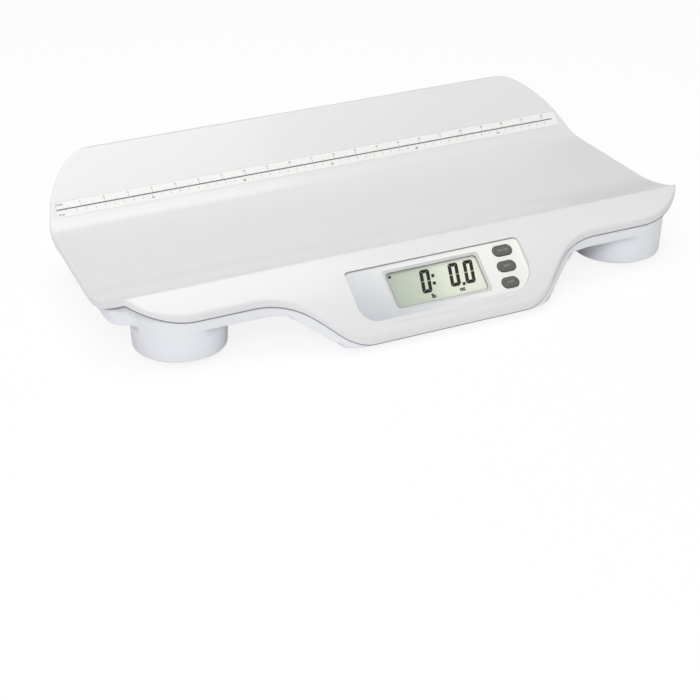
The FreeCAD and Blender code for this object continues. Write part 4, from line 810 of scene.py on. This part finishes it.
def carve(piece, outline, levels, placing):
    points, faces = slab(outline, *levels)
    cutter = addPiece("cutter", placed(points, placing), faces, "tray")
    modifier = piece.modifiers.new("recess", "BOOLEAN")
    modifier.operation = "DIFFERENCE"
    modifier.solver = "EXACT"
    modifier.object = cutter
    bake(piece)
    bpy.data.objects.remove(cutter)


carve(trayPiece, plateOutline(display["gap"], 1.0), recess["plate"], onDisplay)
carve(trayPiece, rectangle(*recess["stripHalf"]), recess["strip"], onStrip)
softShade(trayPiece, tray["sharpFrom"])


def ringPiece(name, profile, outline, finish):
    # a closed ring: each profile entry gives the outline's argument and a level
    points = []
    for amount, level in profile:
        points += [(x, rise, level(rise) if callable(level) else level) for x, rise in outline(amount)]
    count = len(points) // len(profile)
    faces = []
    for row in range(len(profile)):
        faces += bandFaces(row * count, (row + 1) % len(profile) * count, count)
    piece = addPiece(name, placed(points, onDisplay), faces, finish)
    faceOut(piece)
    softShade(piece)
    return piece


def underTray(rise):
    return surfaceLift(rise)[0] - display["collarBelow"]


# (growth of the plate's outline, level) round the collar with its ledge and round the dark ring on it, which
# is painted shade in the gap round the plate
collarProfile = [(2.5, -3.5), (2.5, underTray), (0.3, underTray), (0.3, -1.56), (-2.0, -1.56), (-2.0, -3.5)]
plateShadeRingProfile = [(0.28, -1.54), (0.28, -0.8), (0.03, -0.8), (0.03, -1.54)]
# (share from the bezel's outside to the window's edge, level) round the bezel and round the dark ring at its
# inner edge, painted shade on the bezel's inner wall
bezelProfile = [(0.0, -1.5), (0.0, -0.35), (0.07, -0.2), (0.55, -0.22), (0.85, -0.36), (1.0, -0.62),
                (1.0, -1.5)]
windowShadeRingProfile = [(1.0, -1.4), (1.0, -0.64), (1.17, -0.64), (1.17, -1.4)]


def collarOutline(grow):
    return plateOutline(grow, 1.0)


def gasketOutline(grow):
    # only the shade ring's outside follows the groove
    return plateOutline(grow, 1.0 if grow == plateShadeRingProfile[0][0] else 0.0)


def bezelOutline(share):
    # 0 is the bezel's outside and 1 the window's edge
    outer, inner = display["bezelHalf"], display["bezelInner"]
    halfX, halfY = (o + (i - o) * share for o, i in zip(outer, inner))
    radius = display["bezelRadius"] + (display["bezelInnerRadius"] - display["bezelRadius"]) * share
    return roundedBox(halfX, halfY, display["windowCentre"], [radius] * 4)


def makeWindow():
    ringPiece("displayShelf", collarProfile, collarOutline, "tray")
    # the dark ring round the plate is painted shade, for the shadow in the gap at the plate's edge
    ringPiece("plateShadeRing", plateShadeRingProfile, gasketOutline, "mat")
    bezel = ringPiece("displayBezel", bezelProfile, bezelOutline, "bezel")
    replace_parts(bezel, "lcd_bezel")
    # the dark ring at the bezel's inner edge is painted shade, for the shaded inner wall
    ringPiece("windowShadeRing", windowShadeRingProfile, bezelOutline, "mat")
    outline, top = bezelOutline(display["windowShare"]), display["windowTop"]
    low = top - display["windowThickness"]
    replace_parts(displaySlab("clearWindow", outline, low, top, "window"), "lcd_lens")
    outline, top = bezelOutline(display["glassShare"]), display["panelLevel"]
    low = top - display["glassThickness"]
    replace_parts(displaySlab("displayGlass", outline, low, top, "panel"), "lcd_panel")


makeWindow()

buttons = {  # word, middle and length of each
    "button_top": ("ON/OFF", 78.1, 16.8, 20.8),
    "button_middle": ("ZERO", 75.9, 0.0, 19.8),
    "button_low": ("UNIT", 72.9, -17.2, 18.2),
}
buttonHole = {
    "height": 12.0, "extra": 1.0,  # extra is its length beyond the button's
    "sleeve": 0.25, "sleeveFoot": -1.45, "innerTop": -0.3, "outerTop": -0.05,
}
buttonWord = {"size": 3.3, "level": 1.3}


def buttonOutline(facts, grow):
    # about a button's length; grown by the hole's extra it is the hole
    word, x, rise, length = facts
    half = (buttonHole["height"] - buttonHole["extra"] + grow) / 2
    return roundedBox((length + grow) / 2, half, (x, rise), [half] * 4)


def makePlate():
    thickness = display["plateThickness"]
    piece = displaySlab("silverPlate", plateOutline(0.0), -thickness, 0.0, "plate")
    carve(piece, bezelOutline(display["holeShare"]), recess["holes"], onDisplay)
    for facts in buttons.values():
        carve(piece, buttonOutline(facts, buttonHole["extra"]), recess["holes"], onDisplay)
    softShade(piece)
    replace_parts(piece, "display_plate")


def makeWells():
    # black sleeves that line the buttons' openings: painted shade, a dark outline round each button
    inner, outer = buttonHole["sleeve"], buttonHole["extra"]
    levels = (buttonHole[key] for key in ("sleeveFoot", "innerTop", "outerTop", "sleeveFoot"))
    profile = list(zip((inner, inner, outer, outer), levels))
    for name, facts in buttons.items():
        ringPiece(f"shadeSleeve_{name}", profile, lambda grow: buttonOutline(facts, grow), "black")


makePlate()
makeWells()

markLevel = display["panelLevel"] + 0.02
digits = {
    "height": 24.0, "width": 10.6, "stroke": 3.6, "slant": 12.0, "gap": 0.3, "thickness": 0.12,
    "cut": 0.42, "bevel": (0.4, 0.6),  # the corners' cut, as shares of the stroke and of that cut
    "slit": 0.6, "innerSlit": 0.2,  # shares of the gap and of that slit
    "centres": ((-10.2, 3.5), (20.8, 4.0), (37.0, 3.8)),
    "dot": 1.55, "dots": ((-0.9, 7.6), (-2.4, -0.2), (27.0, -7.2)),
}


def segmentBars():
    # the six lit bars of a nought, as flat polygons about the digit's middle
    x, y, stroke, gap = digits["width"] / 2, digits["height"] / 2, digits["stroke"], digits["gap"]
    cut = stroke * digits["cut"]
    slit = gap * digits["slit"]
    bevelX, bevelY = (cut * share for share in digits["bevel"])
    topRight = [(x - cut - slit, y), (x - bevelX - slit, y - bevelY),
                (x - stroke - slit * digits["innerSlit"], y - stroke)]
    topLeft = [(-px, py) for px, py in topRight]
    top = [topLeft[0], *topRight, topLeft[2], topLeft[1]]
    rightHigh = [(x - bevelX, y - bevelY - slit), (x, y - cut - slit), (x, gap), (x - stroke, gap),
                 (x - stroke, y - stroke - slit)]
    leftHigh = [(-px, py) for px, py in rightHigh][::-1]
    upper = [top, rightHigh, leftHigh]
    return upper + [[(px, -py) for px, py in bar][::-1] for bar in upper]


def makeDigits():
    points = []
    faces = []
    lean = tand(digits["slant"])

    def slanted(outline, cx, cy):
        return [(cx + x + y * lean, cy + y) for x, y in outline]

    def addBar(outline):
        barPoints, barFaces = slab(outline, markLevel, markLevel + digits["thickness"])
        faces.extend([[len(points) + n for n in face] for face in barFaces])
        points.extend(barPoints)

    for centre in digits["centres"]:
        for bar in segmentBars():
            addBar(slanted(bar, *centre)[::-1])
    for centre in digits["dots"]:
        addBar(slanted(rectangle(digits["dot"], digits["dot"]), *centre))
    piece = addPiece("litSegments", placed(points, onDisplay), faces, "segment")
    faceOut(piece)


makeDigits()

letters = {"resolution": 3, "thickness": 0.03}


def textMesh(text, size, weight):
    # flat letters about the origin, in millimetres
    curve = bpy.data.curves.new("lettering", "FONT")
    curve.body = text
    curve.size = size
    curve.align_x = "CENTER"
    curve.align_y = "CENTER"
    curve.resolution_u = letters["resolution"]
    curve.offset = weight
    return curveMesh(curve)


def lettering(name, entries, placing, finish, body="scale_body", weight=0.0):
    # entries are (text, size, x, y); placing takes that plane's millimetres to the scale's
    work = bmesh.new()
    for text, size, x, y in entries:
        mesh = textMesh(text, size, weight)
        mesh.transform(Matrix.Translation((x, y, 0)))
        work.from_mesh(mesh)
        bpy.data.meshes.remove(mesh)
    bmesh.ops.triangulate(work, faces=work.faces)
    solid = bmesh.ops.extrude_face_region(work, geom=work.faces[:])
    lifted = [item for item in solid["geom"] if isinstance(item, bmesh.types.BMVert)]
    bmesh.ops.translate(work, vec=(0, 0, letters["thickness"]), verts=lifted)
    bmesh.ops.recalc_face_normals(work, faces=work.faces)
    mesh = bpy.data.meshes.new(name)
    work.to_mesh(mesh)
    work.free()
    mesh.transform(Matrix.Scale(mm, 4) @ placing)
    return linkPiece(name, mesh, finish, body)


unitMarks = {"size": 5.8, "weight": 0.3, "places": {"lb": (-8.0, -12.8), "oz": (23.2, -12.0)}}
steadyMark = {"centre": (-44.2, 15.1), "radius": 1.5, "step": 20, "thickness": 0.1}


def makeMarks():
    entries = [(unit, unitMarks["size"], *place) for unit, place in unitMarks["places"].items()]
    placing = onDisplay @ Matrix.Translation((0, 0, markLevel))
    lettering("unitMarks", entries, placing, "segment", weight=unitMarks["weight"])
    (cx, cy), radius = steadyMark["centre"], steadyMark["radius"]
    ring = [(cx + radius * cosd(a), cy + radius * sind(a)) for a in range(0, 360, steadyMark["step"])]
    displaySlab("steadyMark", ring, markLevel, markLevel + steadyMark["thickness"], "segment")


def makeLegends():
    placing = onDisplay @ Matrix.Translation((0, 0, buttonWord["level"]))
    for name, (word, x, rise, length) in buttons.items():
        entries = [(word, buttonWord["size"], x, rise)]
        lettering(name + "_legend", entries, placing, "legend", name + "_body")


makeMarks()
makeLegends()
print("display made")

bead = {  # round the lower right of the plate, sunk a little into the tray
    "radius": 0.55, "sunk": 0.2, "resolution": 10, "roundness": 2, "sharpFrom": 50,
    "stops": ((-66, -31.5), (-30, -32.6), (70, -32.6), (86, -30.5), (97, -23), (103, -11), (104.5, 6),
              (102, 22)),
}


def makeBead():
    curve = bpy.data.curves.new("beadPath", "CURVE")
    curve.dimensions = "3D"
    curve.resolution_u = bead["resolution"]
    spline = curve.splines.new("NURBS")
    spline.points.add(len(bead["stops"]) - 1)
    for stop, (x, rise) in zip(spline.points, bead["stops"]):
        y = surfaceLift(rise)[1]
        slope = math.asin((apronY - y) / tray["apronRadius"])
        place = (x, y + bead["sunk"] * math.sin(slope), sharpHeight(y) - bead["sunk"] * math.cos(slope))
        stop.co = (*(c * mm for c in place), 1)
    spline.order_u = 3
    spline.use_endpoint_u = True
    curve.bevel_depth = bead["radius"] * mm
    curve.bevel_resolution = bead["roundness"]
    curve.use_fill_caps = True
    piece = linkPiece("plateBead", curveMesh(curve), "tray")
    faceOut(piece)
    softShade(piece, bead["sharpFrom"])


makeBead()


# the measuring strip's print: ticks from a Geometry Nodes tree, a line and figures

inch = 25.4
centimetre = 10.0
strip = {
    "zero": -287.5, "lineWidth": 0.95, "printLevel": 0.015, "lineTop": 0.05, "tickThickness": 0.03,
    "inches": 22, "inchTick": 4.0, "halfTick": 2.2, "eighthTick": 1.2, "tickWidth": 0.24,
    "centimetres": 57, "centimetreTick": 2.2, "millimetreTick": 1.0, "fiveTick": 1.5,
}
figures = {  # size and place across the strip of each kind
    "inch": (2.7, 5.5), "centimetre": (1.7, -3.8), "tenth": (3.3, -4.9), "weight": 0.04,
    "unitSize": 3.1, "unitAlong": 4.0, "units": {"0 inch": 5.4, "0 cm": -5.5},
}


def tickTree():
    # boxes along a line: every tick is short, every few ones are longer
    tree = bpy.data.node_groups.new("tickRow", "GeometryNodeTree")
    face = tree.interface
    face.new_socket("Geometry", in_out="INPUT", socket_type="NodeSocketGeometry")
    kinds = {
        "Count": "Int", "Pitch": "Float", "Tick width": "Float", "Short": "Float", "Middle": "Float",
        "Long": "Float", "Middle every": "Int", "Long every": "Int", "Side": "Float", "Thickness": "Float",
        "Material": "Material",
    }
    inputs = {}
    for label, kind in kinds.items():
        inputs[label] = face.new_socket(label, in_out="INPUT", socket_type="NodeSocket" + kind).identifier
    face.new_socket("Geometry", in_out="OUTPUT", socket_type="NodeSocketGeometry")

    def add(kind, settings=None, sockets=None):
        return addNode(tree, kind, settings, sockets).outputs[0]

    given = addNode(tree, "NodeGroupInput").outputs
    index = add("GeometryNodeInputIndex")

    def longer(label, usual, size):
        # the size at every so many ticks, or else the usual one
        part = add("FunctionNodeIntegerMath", {"operation": "MODULO"}, {0: index, 1: given[label]})
        due = add("FunctionNodeCompare", {"data_type": "INT", "operation": "EQUAL"}, {2: part, 3: 0})
        return add("GeometryNodeSwitch", {"input_type": "FLOAT"}, {0: due, 1: usual, 2: given[size]})

    step = add("ShaderNodeCombineXYZ", sockets={0: given["Pitch"]})
    line = add("GeometryNodeMeshLine", {"mode": "OFFSET"}, {"Count": given["Count"], "Offset": step})
    length = longer("Long every", longer("Middle every", given["Short"], "Middle"), "Long")
    size = add("ShaderNodeCombineXYZ", sockets={0: given["Tick width"], 1: length, 2: given["Thickness"]})
    offset = add("ShaderNodeMath", {"operation": "MULTIPLY"}, {0: length, 1: given["Side"]})
    shift = add("ShaderNodeCombineXYZ", sockets={1: offset})
    moved = add("GeometryNodeSetPosition", sockets={"Geometry": line, "Offset": shift})
    cube = add("GeometryNodeMeshCube", sockets={"Size": (1, 1, 1)})
    boxes = add("GeometryNodeInstanceOnPoints", sockets={"Points": moved, "Instance": cube, "Scale": size})
    real = add("GeometryNodeRealizeInstances", sockets={0: boxes})
    painted = add("GeometryNodeSetMaterial", sockets={"Geometry": real, "Material": given["Material"]})
    addNode(tree, "NodeGroupOutput", sockets={0: painted})
    return tree, inputs


def makeTicks():
    tree, inputs = tickTree()
    rows = {
        "inchTicks": {
            "Count": strip["inches"] * 8 + 1, "Pitch": inch / 8, "Middle every": 4,
            "Long every": 8, "Side": 0.5,
            "Short": strip["eighthTick"], "Middle": strip["halfTick"], "Long": strip["inchTick"],
        },
        "centimetreTicks": {
            "Count": strip["centimetres"] * 10 + 1, "Pitch": centimetre / 10, "Middle every": 5,
            "Long every": 10, "Side": -0.5,
            "Short": strip["millimetreTick"], "Middle": strip["fiveTick"], "Long": strip["centimetreTick"],
        },
    }
    thickness = strip["tickThickness"]
    shared = {"Tick width": strip["tickWidth"], "Thickness": thickness, "Material": finishes["ink"].material}
    placing = onStrip @ Matrix.Translation((strip["zero"], 0, strip["printLevel"] + thickness / 2))
    for name, values in rows.items():
        piece = addObject(name, bpy.data.meshes.new(name))
        modifier = piece.modifiers.new("ticks", "NODES")
        modifier.node_group = tree
        for label, item in {**values, **shared}.items():
            modifier[inputs[label]] = item
        bake(piece)
        piece.data.transform(Matrix.Scale(mm, 4) @ placing)
        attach(piece, "scale_body")


def makeStripMarks():
    length = strip["centimetres"] * centimetre
    half = strip["lineWidth"] / 2
    line = [(0, -half), (length, -half), (length, half), (0, half)]
    points, faces = slab(line, strip["printLevel"], strip["lineTop"])
    placing = onStrip @ Matrix.Translation((strip["zero"], 0, 0))
    addPiece("scaleLine", placed(points, placing), faces, "ink")
    size, across = figures["inch"]
    entries = [(str(n), size, n * inch, across) for n in range(1, strip["inches"] + 1)]
    for n in range(1, strip["centimetres"]):
        size, across = figures["centimetre" if n % 10 else "tenth"]
        entries.append((str(n % 10 or n), size, n * centimetre, across))
    for unit, across in figures["units"].items():
        entries.append((unit, figures["unitSize"], figures["unitAlong"], across))
    placing = placing @ Matrix.Translation((0, 0, strip["printLevel"]))
    lettering("scaleFigures", entries, placing, "ink", weight=figures["weight"])


makeTicks()
makeStripMarks()
print("measuring strip made")


# the stage, its light and the camera, in metres

stage = {
    "floor": 30.0, "roughness": 0.9, "white": (1.0, 1.0, 1.0), "speckle": (0.995, 0.995, 0.995),
    "speckleScale": 3.0, "bounce": (0.90, 0.91, 0.94), "glow": 0.86, "world": 0.32,
}
lamps = {
    "key": {"place": (-2.1, -3.0, 2.85), "size": 1.8, "power": 84.0},
    "top": {"place": (0.0, 0.2, 2.8), "size": 2.2, "power": 38.0},
}
camera = {
    "place": (-0.83427, -1.60671, 0.82878),
    "right": (0.8925953, -0.4508580, -0.0008302),
    "up": (0.2053457, 0.4048966, 0.8910061),
    "forward": (0.4013811, 0.7954784, -0.4539905),
    "lens": 101.28, "sensor": 36.0, "farthest": 100.0,
}


def makeFloor():
    half = stage["floor"] / 2
    mesh = bpy.data.meshes.new("floor")
    mesh.from_pydata([(x, y, 0) for x, y in rectangle(half, half)], [], [(0, 1, 2, 3)])
    floor = addObject("floor", mesh)
    paper = Finish("whiteFloor", Roughness=stage["roughness"], Specular_IOR_Level=0.0)
    speckle = paper.blend(paper.noise(stage["speckleScale"]), stage["speckle"], stage["white"])
    seen = paper.add("LightPath")  # 1 for camera rays
    paper.feed("Base Color", paper.blend(seen, stage["bounce"], speckle))
    # the camera sees the floor partly lit from within, so its shadows stay pale
    glow = paper.add("Emission", sockets={"Color": (1, 1, 1, 1), "Strength": 1.0})
    plain = paper.shader.outputs[0]
    mixed = paper.add("MixShader", sockets={0: seen * stage["glow"], 1: plain, 2: glow})
    paper.tree.links.new(mixed.socket, paper.tree.nodes["Material Output"].inputs["Surface"])
    floor.data.materials.append(paper.material)


def makeWorld():
    # the camera sees plain white, and a dimmer world lights the rest
    world = bpy.data.worlds.new("studio")
    scene.world = world
    world.use_nodes = True
    tree = world.node_tree
    seen = addNode(tree, "ShaderNodeLightPath").outputs["Is Camera Ray"]
    strength = addNode(tree, "ShaderNodeMix", {"data_type": "FLOAT"}, {0: seen, 2: stage["world"], 3: 1.0})
    background = tree.nodes["Background"]
    tree.links.new(strength.outputs[0], background.inputs["Strength"])
    background.inputs["Color"].default_value = (1, 1, 1, 1)


def makeLamps():
    for name, facts in lamps.items():
        lamp = bpy.data.lights.new(name, "AREA")
        lamp.size = facts["size"]
        lamp.energy = facts["power"]
        holder = addObject(name, lamp)
        holder.location = facts["place"]
        holder.rotation_euler = (-Vector(facts["place"])).to_track_quat("-Z", "Y").to_euler()


def makeCamera():
    lens = bpy.data.cameras.new("camera")
    lens.lens = camera["lens"]
    lens.sensor_width = camera["sensor"]
    lens.clip_end = camera["farthest"]
    holder = addObject("camera", lens)
    rows = Matrix((camera["right"], camera["up"], [-c for c in camera["forward"]])).transposed()
    holder.matrix_world = Matrix.Translation(camera["place"]) @ rows.to_4x4()
    scene.camera = holder


makeFloor()
makeWorld()
makeLamps()
makeCamera()
scene.view_settings.view_transform = "Standard"
print("stage, lights and camera made")
